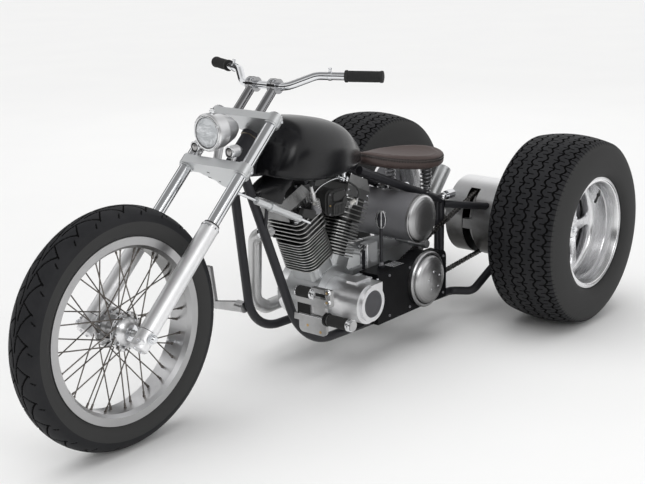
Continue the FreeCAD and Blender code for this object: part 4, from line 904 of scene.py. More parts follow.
def distance_to_paths(s, w, period, paths):
    """Depth share at places (s round, w across) near grooves that repeat each period."""
    depth = np.zeros(np.broadcast(s, w).shape)
    for points, width in paths:
        for shift in (-period, 0, period, 2 * period):
            for (s0, w0), (s1, w1) in zip(points, points[1:]):
                ds, dw = s1 - s0, w1 - w0
                along = np.clip(((s - s0 - shift) * ds + (w - w0) * dw) / (ds * ds + dw * dw), 0, 1)
                gap = np.hypot(s - s0 - shift - along * ds, w - w0 - along * dw)
                depth = np.maximum(depth, np.clip((width / 2 + 0.9 - gap) / 1.4, 0, 1))
    return depth


FRONT_REPEATS = 26
FRONT_GROOVES = [
    # long sweeping groove, its branch and the shoulder cut: places (round, across), and width
    ([(-8, 3), (20, 4), (48, 9), (72, 17), (90, 28), (104, 40)], 3.0),
    ([(40, 12), (24, 30), (14, 44)], 2.8),
    ([(84, 44), (74, 58)], 2.6),
]


class TRIKE_OT_front_tyre(bpy.types.Operator):
    """Front tyre with its sweeping tread grooves and ribbed walls"""
    bl_idname = "trike.front_tyre"
    bl_label = "Front tyre"

    def execute(self, context):
        low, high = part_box("front_tyre")
        crown = (high.z - low.z) / 2 / MM
        half_w = (high.y - low.y) / 2 / MM
        flange = (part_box("front_rim")[1].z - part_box("front_rim")[0].z) / 2 / MM
        shoulder_r, shoulder_y = crown - 20, half_w - 9
        bead_y = half_w - 15.8
        wall = tyre_section(flange - 8, bead_y, flange + 1.3, half_w, shoulder_r, shoulder_y, 16)
        across = np.linspace(shoulder_y, -shoulder_y, 62)[1:-1]
        mirror = [(radius, -y) for radius, y in reversed(wall)]
        base = np.array(wall + [(crown_radius(shoulder_r, shoulder_y, crown, y), y) for y in across] + mirror)
        run = np.concatenate([[0], np.cumsum(np.hypot(*np.diff(base, axis=0).T))])
        w = run - run[-1] / 2
        steps = context.scene.trike_tyres.front_steps
        circle = TAU * crown
        period = circle / FRONT_REPEATS
        depth_mm = context.scene.trike_tyres.front_groove / MM
        s = np.arange(steps)[:, None] * circle / steps
        left = distance_to_paths(s % period, w[None, :], period, FRONT_GROOVES)
        right = distance_to_paths((s + period / 2) % period, -w[None, :], period, FRONT_GROOVES)
        tread = np.clip((78 - np.abs(w)) / 4, 0, 1)[None, :]
        cut = np.maximum(left, right) * tread * depth_mm
        ridge = 0.5 * (np.abs(np.abs(w) - 92) < 1.5) - 0.4 * (np.abs(np.abs(w) - 77) < 1.4)
        radius = base[None, :, 0] - cut + ridge[None, :]
        rows = []
        for step in range(steps):
            turn = TAU * step / steps
            place = np.stack([radius[step] * math.cos(turn), base[:, 1], radius[step] * math.sin(turn)], -1)
            rows.append(place * MM + np.array(FRONT_AXLE))
        shell = Shell()
        shell.grid(rows, wrap_rows=True)
        deep = cut + np.roll(cut, -1, 0) + np.roll(cut, -1, 1) + np.roll(np.roll(cut, -1, 0), -1, 1)
        on_tread = np.abs(w + np.roll(w, -1))[None, :] / 2 < 76
        marks = np.where(deep > 6, 2, np.where(on_tread, 1, 0) + 0 * cut).astype(int)
        shell.marks = marks[:, :-1].ravel().tolist()
        finishes = ["tyre_rubber", "tread_rubber", "tread_groove"]
        shell.make("front_tyre_tread", "front_wheel", finishes,
                   ["front_tyre"], 50, merge=False)
        return {"FINISHED"}


REAR_REPEATS = 56
REAR_GROOVES = (-108.0, -65.0, -22.0, 22.0, 65.0, 108.0)
GROOVE_SHAPE = ((-4.0, 0.0), (-3.2, 1.0), (3.2, 1.0), (4.0, 0.0))       # across, and share of the depth
SIPE_ROWS = (0.0, 0.4, 3.2, 3.6)                                       # round, in millimetres
SIPE_DEPTH = (0.0, 1.0, 1.0, 0.0)


def sway(share):
    """How far the wavy grooves stand aside, from -1 to 1, over one repeat."""
    return max(-1.0, min(1.0, 1.7 * math.sin(TAU * share)))


class TRIKE_OT_rear_tyres(bpy.types.Operator):
    """Wide rear tyres with wavy grooves, interlocked ribs and cut shoulders"""
    bl_idname = "trike.rear_tyres"
    bl_label = "Rear tyres"

    def execute(self, context):
        self.tyre("rear_tyre_left", REAR_LEFT, "rear_wheel_left")
        self.tyre("rear_tyre_right", REAR_RIGHT, "rear_wheel_right")
        return {"FINISHED"}

    def tyre(self, node, centre, body):
        low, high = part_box(node)
        crown = (high.z - low.z) / 2 / MM
        half_w = (high.y - low.y) / 2 / MM
        rim = node.replace("tyre", "rim")
        flange = (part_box(rim)[1].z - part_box(rim)[0].z) / 2 / MM
        shoulder_r, shoulder_y = crown - 16, 124.0
        wall = self.wall(flange, half_w, shoulder_r, shoulder_y)
        depth = bpy.context.scene.trike_tyres.rear_groove / MM
        period = TAU * crown / REAR_REPEATS
        rows = []
        shares = self.row_places(period)
        for repeat in range(REAR_REPEATS):
            for place, half in shares:
                turn = TAU * (repeat + place / period) / REAR_REPEATS
                section = self.section(wall, shoulder_r, shoulder_y, crown, place, period, half, depth)
                radius, y = section[:, 0], section[:, 1]
                row = np.stack([radius * math.cos(turn), y, radius * math.sin(turn)], -1)
                rows.append(row * MM + np.array(centre))
        shell = Shell()
        shell.grid(rows, wrap_rows=True)
        shell.marks = self.tread_marks(np.array(rows) - np.array(centre), shoulder_r, shoulder_y, crown)
        finishes = ["tyre_rubber", "tread_rubber", "tread_groove"]
        shell.make(node + "_tread", body, finishes, [node], 50, merge=False)

    @staticmethod
    def wall(flange, half_w, shoulder_r, shoulder_y):
        """Left wall: a deep fold beside the rim's lip, the bulge and the shoulder."""
        first = (flange - 6, half_w - 26.5)
        knots = [
            (flange + 1.3, half_w - 24), (flange + 5, half_w - 15), (flange + 13, half_w - 6.5),
            (flange + 26, half_w - 1.5), (flange + 44, half_w), (flange + 70, half_w - 1.5),
            (flange + 92, half_w - 6), (flange + 108, half_w - 12), (flange + 120, half_w - 19),
            (shoulder_r, shoulder_y),
        ]
        places = smooth_path([Vector((radius, y, 0)) for radius, y in knots], 3)
        return [first] + [(place.x, place.y) for place in places]

    @staticmethod
    def tread_marks(rows, shoulder_r, shoulder_y, crown):
        """Finish of each face: 0 on the walls, 1 on the tread's ribs, 2 in its grooves and cuts."""
        radius = np.hypot(rows[:, :, 0], rows[:, :, 2]) / MM
        y = rows[:, :, 1] / MM
        drop = crown - shoulder_r
        curve = (shoulder_y ** 2 + drop ** 2) / (2 * drop)
        skin = crown - curve + np.sqrt(np.maximum(curve ** 2 - y ** 2, 0))
        cut = np.where(np.abs(y) <= shoulder_y + 0.01, skin - radius, 0)
        deep = cut + np.roll(cut, -1, 0) + np.roll(cut, -1, 1) + np.roll(np.roll(cut, -1, 0), -1, 1)
        on_tread = np.abs(y + np.roll(y, -1, 1)) / 2 < shoulder_y + 6
        marks = np.where(deep > 4.0, 2, np.where(on_tread, 1, 0))[:, :-1]
        return marks.ravel().tolist()

    @staticmethod
    def row_places(period):
        """Rows over one repeat: (place, sipe share by half of the ribs)."""
        places = []
        for start, which in ((0.0, 0), (period / 2, 1)):
            places += [(start + shift, (which, share)) for shift, share in zip(SIPE_ROWS, SIPE_DEPTH)]
            gap = period / 2 - SIPE_ROWS[-1]
            places += [(start + SIPE_ROWS[-1] + gap * part, (which, 0.0)) for part in (0.25, 0.5, 0.75)]
        return places

    @staticmethod
    def section(wall, shoulder_r, shoulder_y, crown, place, period, half, depth):
        which, sipe = half
        share = place / period
        shift = 5.0 * sway(share + 0.25)
        columns = []
        edges = [-shoulder_y] + [groove + shift for groove in REAR_GROOVES] + [shoulder_y]
        for index, (start, end) in enumerate(zip(edges, edges[1:])):
            first = start + (GROOVE_SHAPE[-1][0] if index else 0)
            last = end + (GROOVE_SHAPE[0][0] if index < len(edges) - 2 else 0)
            for part in (0.0, 0.3, 0.5, 0.52, 0.8, 1.0):
                inner = 0 < index < len(edges) - 2
                on_half = part < 0.51 if (which + index) % 2 else part > 0.51
                cut = sipe * (0.8 if (on_half or not inner) else 0.0)
                columns.append((first + (last - first) * part, cut * depth))
            if index < len(edges) - 2:
                columns += [(end + across, deep * depth) for across, deep in GROOVE_SHAPE[1:-1]]
        tread = [(crown_radius(shoulder_r, shoulder_y, crown, y) - cut, y) for y, cut in columns]
        tread.reverse()
        left = list(wall)
        right = [(radius, -y) for radius, y in reversed(wall)]
        cut = sipe * 0.8 * depth
        notch = [0.0] * (len(left) - 4) + [0.5 * cut, cut, cut]
        left = [(radius - deep, y) for (radius, y), deep in zip(left[:-1], notch)]
        right = [(radius - deep, y) for (radius, y), deep in zip(right[1:], reversed(notch))]
        return np.array(left + tread + right)


# ---------------------------------------------------------------- saddle
SADDLE_PLAN = [
    # ahead of the rear axle, and half width, from the tail to the nose
    (238, 0), (246, 50), (270, 92), (308, 124), (355, 140), (400, 141), (450, 127),
    (500, 106), (555, 81), (605, 57), (638, 34), (652, 14), (654, 0),
]
SADDLE_MIDDLE = 410.0
SADDLE_ROWS = [
    # reach from the middle, and drop under the crest, from the dish's middle round to the middle underneath
    (0.03, 15), (0.18, 15), (0.36, 14), (0.54, 12), (0.7, 8.5), (0.82, 4.5), (0.9, 1.5), (0.945, 1),
    (0.98, 5), (0.998, 12), (0.985, 18), (1.0, 25), (1.0, 33), (0.975, 41), (0.92, 46), (0.75, 47),
    (0.4, 47), (0.03, 47),
]
SADDLE_TURNS = 96
STITCH_GAP = 6.5
STITCH_DROP = 18.0


def crest_line(part):
    """A part's top along the middle plane: places ahead and their heights, in metres."""
    low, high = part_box(part.name)
    into = part.matrix_world.inverted()
    down = (into.to_3x3() @ Vector((0, 0, -1))).normalized()
    ahead, tops = [], []
    for x in np.linspace(low.x + 2 * MM, high.x - 2 * MM, 90):
        hit, place, _, _ = part.ray_cast(into @ Vector((x, 0, high.z + 1)), down)
        if hit:
            ahead.append(x)
            tops.append((part.matrix_world @ place).z)
    return ahead, tops


def plan_ring(turns):
    """The saddle's outline as directions and reaches about its middle."""
    left = [(x - SADDLE_MIDDLE, y) for x, y in SADDLE_PLAN]
    whole = left + [(x, -y) for x, y in reversed(left[1:-1])]
    closed = np.array(whole + whole[:1])
    steps = np.concatenate([[0], np.cumsum(np.linalg.norm(np.diff(closed, axis=0), axis=1))])
    fine = np.linspace(0, steps[-1], 721)[:-1]
    line = np.stack([np.interp(fine, steps, closed[:, axis]) for axis in (0, 1)], 1)
    for _ in range(60):
        line = (np.roll(line, 1, 0) + line * 2 + np.roll(line, -1, 0)) / 4
    return line[:: 720 // turns]


def puffed(piece, voxel, cap):
    """Fills a closed skin as foam fills its cover: remeshed, then pressed out by cloth under pressure."""
    remesh = piece.modifiers.new("remesh", "REMESH")
    remesh.mode = "VOXEL"
    remesh.voxel_size = voxel
    settle(piece)
    before = np.array([tuple(point.co) for point in piece.data.vertices])
    cloth = piece.modifiers.new("cloth", "CLOTH")
    cloth.settings.use_pressure = True
    cloth.settings.uniform_pressure_force = 4.0
    cloth.settings.effector_weights.gravity = 0.0
    cloth.point_cache.frame_end = 20
    for step in range(1, 21):
        bpy.context.scene.frame_set(step)
    settle(piece)
    after = np.array([tuple(point.co) for point in piece.data.vertices])
    moved = after - before
    length = np.linalg.norm(moved, axis=1, keepdims=True)
    moved *= np.minimum(1.0, cap / np.maximum(length, 1e-9))
    piece.data.vertices.foreach_set("co", (before + moved).ravel())
    bpy.context.scene.frame_set(1)


def settle(piece):
    """Writes the modifiers into the mesh."""
    graph = bpy.context.evaluated_depsgraph_get()
    mesh = bpy.data.meshes.new_from_object(piece.evaluated_get(graph))
    old = piece.data
    piece.modifiers.clear()
    piece.data = mesh
    bpy.data.meshes.remove(old)


class TRIKE_OT_saddle(bpy.types.Operator):
    """Dished leather saddle with its stitched welt, and the two coil springs under it"""
    bl_idname = "trike.saddle"
    bl_label = "Saddle"

    def execute(self, context):
        self.cushion()
        self.springs()
        return {"FINISHED"}

    def cushion(self):
        crest = crest_line(frame["nodes"]["seat"])
        line = plan_ring(SADDLE_TURNS)
        shell = Shell()
        rows = []
        for reach, drop in SADDLE_ROWS:
            row = []
            for x, y in line:
                ahead = at(SADDLE_MIDDLE + 0.985 * reach * x, 0, 0).x
                row.append((ahead, 0.985 * reach * y * MM, np.interp(ahead, *crest) - drop * MM))
            rows.append(row)
        shell.grid(rows, wrap_columns=True)
        shell.faces += [list(range(SADDLE_TURNS)),
                        list(range(shell.count - 1, shell.count - SADDLE_TURNS - 1, -1))]
        shell.marks += [0, 0]
        piece = shell.make("saddle_cushion", "chassis", ["saddle_leather"], ["seat"], 180)
        puffed(piece, 5 * MM, 4 * MM)
        smooth = piece.modifiers.new("smooth", "SUBSURF")
        smooth.levels = smooth.render_levels = 1
        settle(piece)
        piece.data.polygons.foreach_set("use_smooth", [True] * len(piece.data.polygons))
        self.seam(piece, line, crest)

    def seam(self, cushion, line, crest):
        """Welt and stitches round the side, laid on the cushion's own skin."""
        fine = np.concatenate([line, line[:1]])
        steps = np.concatenate([[0], np.cumsum(np.linalg.norm(np.diff(fine, axis=0), axis=1))])
        shell = Shell()
        welt = []
        count = int(steps[-1] / STITCH_GAP)
        for index in range(count):
            along = index * steps[-1] / count
            x, y = (np.interp(along, steps, fine[:, axis]) for axis in (0, 1))
            ahead = at(SADDLE_MIDDLE + x, 0, 0).x
            top = np.interp(ahead, *crest)
            spots = []
            for drop in (STITCH_DROP - 7, STITCH_DROP, STITCH_DROP + 7):
                _, spot, out, _ = cushion.closest_point_on_mesh(Vector((ahead, y * MM, top - drop * MM)))
                spots.append(spot + out * (0.5 * MM))
            shell.tube(spots, 1.3, 6, mark=1)
            welt.append(spots[1])
        shell.tube(welt, 2.0, 8, closed=True)
        shell.make("saddle_stitching", "chassis",
                   ["saddle_welt", "black_plastic"], sharp=60)

    def springs(self):
        low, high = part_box("seat_springs")
        radius = 17.0
        shell = Shell()
        for side in (1, -1):
            centre = Vector(((low.x + high.x) / 2, side * (high.y - 21 * MM), low.z))
            tall = (high.z - low.z) / MM
            shell.lathe([(0, 0), (20, 0), (20, 3), (9, 9), (9, 15), (0, 15)], centre, UP, 28)
            shell.lathe([(0, tall - 9), (7, tall - 9), (18, tall - 5), (19, tall), (0, tall)], centre, UP, 28)
            turns = 5.5
            steps = 150
            path = []
            for step in range(steps + 1):
                share = step / steps
                turn = TAU * turns * share
                swell = radius + 2.0 * math.sin(math.pi * share)
                offset = Vector((swell * math.cos(turn), swell * math.sin(turn), 10 + (tall - 17) * share))
                path.append(centre + offset * MM)
            shell.tube(path, 3.1, 10)
        shell.make("saddle_springs", "chassis", ["spring_steel"], ["seat_springs"], 50)


# ---------------------------------------------------------------- tank and cover
TANK_ROWS = [
    # x, half width, floor level and crown level at that place
    (695, 30, 676, 738), (755, 64, 675, 786), (820, 98, 675, 829), (885, 120, 675, 855), (950, 133, 676, 872),
    (1015, 140, 679, 885), (1080, 142, 687, 892), (1125, 139, 697, 889), (1160, 130, 705, 880),
    (1186, 115, 712, 868), (1202, 96, 717, 852), (1210, 70, 722, 836), (1212, 40, 728, 820),
]
TANK_LEAN = 0.42                # how far the front leans back, from the 1100 mm row on
COVER_ROWS = [
    (1052, 40, 684, 694), (1085, 44, 664, 706), (1112, 44, 646, 711), (1131, 44, 612, 710),
    (1160, 42, 622, 703), (1190, 36, 636, 690), (1215, 26, 648, 676), (1232, 12, 656, 665),
]


def tank_ring(x, half, low, high, samples=72):
    """One upright section of the tank: flat floor, full flanks and an arched crown."""
    turns = np.arange(samples) * TAU / samples
    y = np.cos(turns)
    z = np.sin(turns)
    hip = low + 0.36 * (high - low)
    flank = np.sign(y) * np.abs(y) ** np.where(z < 0, 0.22, 0.8) * half
    level = np.where(z < 0, hip - (hip - low) * np.abs(z) ** 0.3, hip + (high - hip) * np.abs(z) ** 0.88)
    lean = TANK_LEAN * max(0.0, x - 1100) / 112
    return [at(x - lean * max(0.0, height - 745), side, height) for side, height in zip(flank, level)]


class TRIKE_OT_tank(bpy.types.Operator):
    """Full-sided fuel tank, the gusset ahead of it and the domed cover between the downtubes"""
    bl_idname = "trike.tank"
    bl_label = "Tank and cover"

    def execute(self, context):
        shell = Shell()
        rows = [tank_ring(*row) for row in self.even_rows(TANK_ROWS, 46)]
        shell.grid(rows, wrap_columns=True)
        for row in (rows[0], rows[-1]):
            heart = sum(row, Vector()) / len(row)
            shell.grid([row, [heart] * len(row)], wrap_columns=True)
        shell.make("tank_shell", "chassis", ["tank_paint"], ["fuel_tank"], 60)
        gusset = Shell()
        outline = [(1096, 699), (1150, 706), (1232, 716), (1262, 742), (1236, 790), (1096, 790)]
        origin = at(0, 7, 0)
        gusset.prism([(x, z) for x, z in outline], origin, -SIDE, 14, 1.5, first=AHEAD)
        for side in (1, -1):
            gusset.tube([at(1206, side * 20, 662),
                        at(1236, side * 34, 655), at(1262, side * 39, 652)], 4.0, 10)
        gusset.make("neck_gusset", "chassis", ["satin_black"], sharp=40)
        self.cover()
        return {"FINISHED"}

    @staticmethod
    def even_rows(rows, count):
        table = np.array(rows, float)
        places = np.linspace(0, len(rows) - 1, count)
        index = np.arange(len(rows))
        smooth = [smooth_column(table[:, column], places) for column in range(table.shape[1])]
        return np.stack(smooth, -1)

    def cover(self):
        shell = Shell()
        rows = []
        for x, half, low, high in self.even_rows(COVER_ROWS, 26):
            turns = np.linspace(0, math.pi, 31)
            arch = [
                at(x, half * math.copysign(abs(math.cos(turn)) ** 0.7, math.cos(turn)),
                   low + (high - low) * math.sin(turn) ** 0.7)
                for turn in turns
            ]
            floor = [at(x, -half * (1 - 2 * step / 8), low) for step in range(1, 8)]
            rows.append(arch + floor)
        shell.grid(rows, wrap_columns=True)
        for row in (rows[0], rows[-1]):
            heart = sum(row, Vector()) / len(row)
            shell.grid([row, [heart] * len(row)], wrap_columns=True)
        shell.make("cover_dome", "chassis", ["tank_paint"], ["ignition_cover"], 50)


def smooth_column(values, places):
    """Cubic (Catmull-Rom) run through evenly spaced values."""
    padded = np.concatenate([[2 * values[0] - values[1]], values, [2 * values[-1] - values[-2]]])
    base = np.clip(places.astype(int), 0, len(values) - 2)
    part = places - base
    first, second, third, fourth = (padded[base + shift] for shift in range(4))
    return second + 0.5 * part * (
        third - first
        + part * (2 * first - 5 * second + 4 * third - fourth
                  + part * (3 * (second - third) + fourth - first))
    )


# ---------------------------------------------------------------- front end
LEG_Y = 118.0
LOWER_TREE = 593.0
UPPER_TREE = 787.0
LAMP_FACE = on_leg(103, 0, 646)
BAR_CENTRE = on_leg(4, 0, 917)
BAR_BEND = Vector((-62, 166, 34))
BAR_END = Vector((-150, 356, 34))
SPOKES_A_SIDE = 20
SPOKE_WRAP = 54.0


def sided(place, side):
    """A place or direction, or its mirror image across the middle plane."""
    return Vector((place[0], side * place[1], place[2]))


BOWL_RINGS = [                # radius, place ahead of the lamp's face: lies on the floor of its recess
    (46.5, -3), (43, -8), (38, -12), (31, -15), (22, -17.6), (12, -20), (1, -21),
]
BOWL_FACETS = 26


class TRIKE_OT_lamps(bpy.types.Operator):
    """Headlight's reflector, glass and bezel screws, and the two marker lamps' lenses"""
    bl_idname = "trike.lamps"
    bl_label = "Lamps"

    def execute(self, context):
        bowl = Shell()
        rows = []
        for ring, (radius, depth) in enumerate(BOWL_RINGS):
            rows.append([])
            for index in range(BOWL_FACETS):
                shift = 1.3 * math.sin(index * 12.9898 + ring * 78.233) if ring else 0
                turn = TAU * (index + 0.5 * (ring % 2)) / BOWL_FACETS
                spot = (depth + shift, radius * math.cos(turn), radius * math.sin(turn))
                rows[-1].append(tuple(LAMP_FACE + Vector(spot) * MM))
        bowl.grid(rows, wrap_columns=True)
        bowl.lathe([(0.5, -20), (11, -20), (12.5, -13), (10, -8), (0.5, -7)], LAMP_FACE, AHEAD, 20, mark=1)
        for turn in (0.5, 2.6, 4.7):
            tip = LAMP_FACE + Vector((-6, 44 * math.cos(turn), 44 * math.sin(turn))) * MM
            bowl.tube([LAMP_FACE - AHEAD * (12 * MM), tip], 1.5, 8, mark=2)
        # Painted shade: a dark band round the bowl's edge, for contrast.
        bowl.lathe([(46.4, -6), (46.4, 0.9), (48.8, 0.9), (48.8, -6)], LAMP_FACE, AHEAD, 64, mark=2)
        bowl.make("headlight_reflector", "steering",
                  ["lamp_mirror", "chrome", "slot_black"], sharp=4)
        glass = Shell()
        crown = [(46.8, -4), (46.8, 0.5), (42, 2.6), (30, 4.6), (15, 5.6), (0.5, 6)]
        back = [(0.5, 4), (15, 3.6), (30, 2.6), (42, 0.5), (45, -4)]
        glass.lathe(crown + back, LAMP_FACE, AHEAD, 64)
        glass.make("headlight_glass", "steering", ["lamp_glass"], ["headlight_lens"], 50)
        rim = Shell()
        bead = [(47.5, -1), (48.3, 1.6), (50, 2.2), (51.7, 1.6), (52.4, 0)]
        rim.lathe(bead, LAMP_FACE, AHEAD, 64)
        for index in range(6):
            turn = TAU * (index + 0.5) / 6
            spot = LAMP_FACE + Vector((0.1, 56 * math.cos(turn), 56 * math.sin(turn))) * MM
            rim.cap_screw(spot - AHEAD * (4.2 * MM), AHEAD, 2.3, height=4.5)
        for side in (1, -1):
            face = on_leg(50, side * 74, 622)
            rim.lathe([(14.5, 0.2), (14.8, 2.2), (17.2, 2.6), (18.8, 1.2), (19.1, -3)], face, AHEAD, 36)
            # Painted shade: a dark ring on the lamp's face where the recess round the lens would be in shade.
            rim.lathe([(14.6, 0.4), (10.8, 0.3), (10.4, 0.3)], face, AHEAD, 36, mark=1)
            rim.lathe([(10.8, 0.2), (10.2, 1.6), (6, 2.8), (0.5, 3.2)], face, AHEAD, 28, mark=2)
            rim.lathe([(9.2, 0), (9.2, 3), (6, 4.5), (6, 8)], face + Vector((-22, 0, -18)) * MM, -UP, 20)
        top = LAMP_FACE + Vector((-26, 0, 62)) * MM
        rim.lathe([(9, -4), (9, 3), (6, 4), (6, 9), (0.5, 9.5)], top, UP, 24)
        finishes = ["polished_alloy", "slot_black", "lens_clear"]
        rim.make("lamp_rims", "steering", finishes, sharp=40)
        self.tree_marks()
        return {"FINISHED"}


    def tree_marks(self):
        """Painted shade of slots: thin dark ovals laid on the lower tree's underside, and the aged steel ring on
        the steering neck.
        """
        marks = Shell()
        # Painted shade: thin dark ovals stand for the slots' shade.
        for ahead, y, half in ((-16, -34, 6), (-46, -48, 7), (-60, -14, 4)):
            outline = [(half * math.cos(TAU * index / 20), 2.6 * math.sin(TAU * index / 20))
                       for index in range(20)]
            marks.prism(outline, on_leg(ahead, y, LOWER_TREE - 15), -LEG_UP, 0.3,
                        first=SIDE - LEG_AHEAD * 0.4)
        marks.make("tree_slot_shade", "steering", ["slot_black"], sharp=40)
        ring = Shell()
        ring.lathe([(29.1, 750), (31, 751), (31.4, 757), (31, 763), (29.1, 764)],
                   on_leg(-60, 0, 0), LEG_UP, 48)
        ring.make("neck_ring", "chassis", ["aged_steel"], sharp=40)


class TRIKE_OT_controls(bpy.types.Operator):
    """Ribbed grips, the bar clamps' screws, and the fork's pinch screws, seams and axle nuts"""
    bl_idname = "trike.controls"
    bl_label = "Bars and fork fittings"

    def execute(self, context):
        self.grips()
        self.screws()
        self.feet()
        return {"FINISHED"}

    def grips(self):
        shell = Shell()
        for side in (1, -1):
            end = BAR_CENTRE + sided(BAR_END, side) * MM
            along = (BAR_CENTRE + sided(BAR_BEND, side) * MM - end).normalized()
            tip = end - along * (5 * MM)
            profile = [(0.5, 0), (14, 0), (18.4, 1.5), (18.8, 4), (18.8, 9), (16.9, 11)]
            rib = 12.0
            while rib < 112:
                profile += [(17.7, rib + 0.4), (17.7, rib + 3.0), (16.5, rib + 3.4), (16.5, rib + 4.6)]
                rib += 5.0
            profile += [(18.9, 113.5), (19.3, 115), (19.3, 120), (18, 122), (13.1, 122), (13.1, 116)]
            shell.lathe(profile, tip, along, 30)
            stud = end + along * (165 * MM)
            shell.lathe([(13.0, -6), (14.6, -5), (14.6, 5), (13.0, 6)], stud, along, 28, mark=1)
            shell.lathe([(4.5, 10), (4.5, 21), (6, 22), (6, 26), (0.5, 27)], stud, UP, 16, mark=1)
        shell.make("grip_rubbers", "steering", ["grip_rubber", "chrome"],
                   ["handlebar_grips"], 30)

    def screws(self):
        shell = Shell()
        for side in (1, -1):
            head = on_leg(4, side * 47, 917)
            for shift in (-8, 8):
                face = head + (LEG_AHEAD * 23.4 + SIDE * shift) * MM
                shell.cap_screw(face, LEG_AHEAD, 4.4)
                shell.cap_screw(head + (-LEG_AHEAD * 23.4 + SIDE * shift) * MM, -LEG_AHEAD, 4.4)
            shell.lathe([(24.3, -1), (24.6, 0), (24.3, 1)], head, SIDE, 40, mark=1)
            foot = on_leg(4, side * 47, UPPER_TREE + 13)
            shell.lathe([(15.2, 0.3), (19, 0.3), (19, 4), (17, 6), (15.2, 6)], foot, LEG_UP, 30)
            for level in (LOWER_TREE, UPPER_TREE):
                face = on_leg(0, side * (LEG_Y + 38), level)
                shell.cap_screw(face - SIDE * (side * 6 * MM), SIDE * side, 4.4)
        stem = on_leg(-60, 0, UPPER_TREE + 13 + 12)
        shell.lathe([(18, 0), (19, 1), (19, 5), (16, 7), (0.5, 7)], stem, LEG_UP, 6)
        shell.make("fork_screws", "steering", ["chrome", "black_plastic"], sharp=35)

    def feet(self):
        shell = Shell()
        for side in (1, -1):
            out = SIDE * side
            shell.hex_head(FRONT_AXLE + out * (146.2 * MM), out, 14, 9, turn=0.3)
            shell.lathe([(10.2, 8), (10.2, 14), (8, 16), (0.5, 16)], FRONT_AXLE + out * (146 * MM), out, 24)
            shell.lathe([(28.05, -0.9), (28.35, -0.5), (28.35, 0.5), (28.05, 0.9)],
                        on_leg(0, side * LEG_Y, 16), LEG_UP, 48, mark=1)
            shell.lathe([(28.1, -2), (29.4, -1), (29.4, 4), (28.1, 5)],
                        on_leg(0, side * LEG_Y, 380), LEG_UP, 48)
            shell.lathe([(21.5, 0), (24.5, 0), (25.4, 1.4), (24.5, 4.2), (20, 4.6), (19.6, 3)],
                        on_leg(0, side * LEG_Y, 391), LEG_UP, 48, mark=1)
            for shift in (-15, 15):
                shell.cap_screw(on_leg(shift, side * LEG_Y, -42), -LEG_UP, 4.5)
            shell.cap_screw(on_leg(30, side * (LEG_Y + 15), -24), LEG_AHEAD, 5.2)
        shell.make("fork_feet", "steering", ["chrome", "grip_rubber"], sharp=35)


class TRIKE_OT_front_wheel(bpy.types.Operator):
    """Spoke nipples, hub rivets and the valve of the laced front wheel"""
    bl_idname = "trike.front_wheel"
    bl_label = "Front wheel fittings"

    def execute(self, context):
        shell = Shell()
        rim_r, hub_r, pitch = 245.7, 46.0, 360 / SPOKES_A_SIDE
        for side in (1, -1):
            for index in range(SPOKES_A_SIDE):
                turn = 1 if index % 2 else -1
                rim_angle = math.radians(index * pitch + (pitch / 2 if side < 0 else 0))
                hub_angle = rim_angle + turn * math.radians(SPOKE_WRAP)
                hub_y = side * (36 + turn * 4.8 + max(turn, 0) * 1.6)
                start = axle_place(FRONT_AXLE, hub_r, hub_angle, hub_y)
                end = axle_place(FRONT_AXLE, rim_r, rim_angle, side * 10)
                along = (start - end).normalized()
                shell.lathe([(4.6, -1), (4.6, 2), (3.4, 3), (3.3, 17), (2.1, 18)], end, along, 10, mark=3)
                shell.lathe([(2.1, -3), (4.4, -2), (4.4, 2), (2.1, 3)], start, along, 10)
        for side in (1, -1):
            out = SIDE * side
            centre = FRONT_AXLE + out * (62.1 * MM)
            shell.lathe([(24.1, -3), (24.5, 0), (21, 1.6), (17, 1.6), (16, 4), (11, 4)], centre, out, 40)
            for index in range(5):
                turn = TAU * index / 5
                spot = axle_place(FRONT_AXLE, 30.5, turn, side * 40.5)
                shell.cap_screw(spot, out, 3.2)
        for side in (1, -1):
            self.bell(shell, side)
        valve = axle_place(FRONT_AXLE, 246, math.radians(205), 0)
        inward = (FRONT_AXLE - valve).normalized()
        shell.lathe([(4.2, 0), (4.2, 3), (3, 4), (3, 24), (3.8, 25), (3.8, 34), (0.5, 35)], valve, inward, 14)
        finishes = ["chrome", "bright_alloy", "slot_black", "spoke_steel"]
        shell.make("front_wheel_fittings", "front_wheel", finishes, sharp=40)
        return {"FINISHED"}

    @staticmethod
    def bell(shell, side):
        """Bell of the hub's end and the ring outside its flange, with thin dark discs as painted shade of drilled
        holes.
        """
        out = SIDE * side
        profile = [(42.5, 38.2), (43, 40.6), (40, 45), (34, 49), (29, 53.5), (26, 58), (25, 61.5), (20, 62.4)]
        shell.lathe(profile, FRONT_AXLE, out, 60, mark=1)
        ring = [(50.5, 35.2), (59, 35.4), (60, 36.2), (59, 37.1), (50.5, 37.2)]
        shell.lathe(ring, FRONT_AXLE, out, 72, mark=1)
        for index in range(20):
            # Painted shade: thin dark discs stand for the drilled holes.
            spot = axle_place(FRONT_AXLE, 55.6, TAU * (index + 0.5) / 20, side * 37.1)
            shell.lathe([(2.5, 0), (2.5, 0.3), (0.5, 0.35)], spot, out, 12, mark=2)


# ---------------------------------------------------------------- chain drive
CHAIN_PITCH = 15.875
CHAIN_Y = 120.0
FRONT_SPROCKET = (546.0, 242.0, 68.0)      # ahead of the rear axle, over the floor, pitch radius
REAR_SPROCKET = (0.0, 354.7, 130.0)
REAR_TEETH = 51


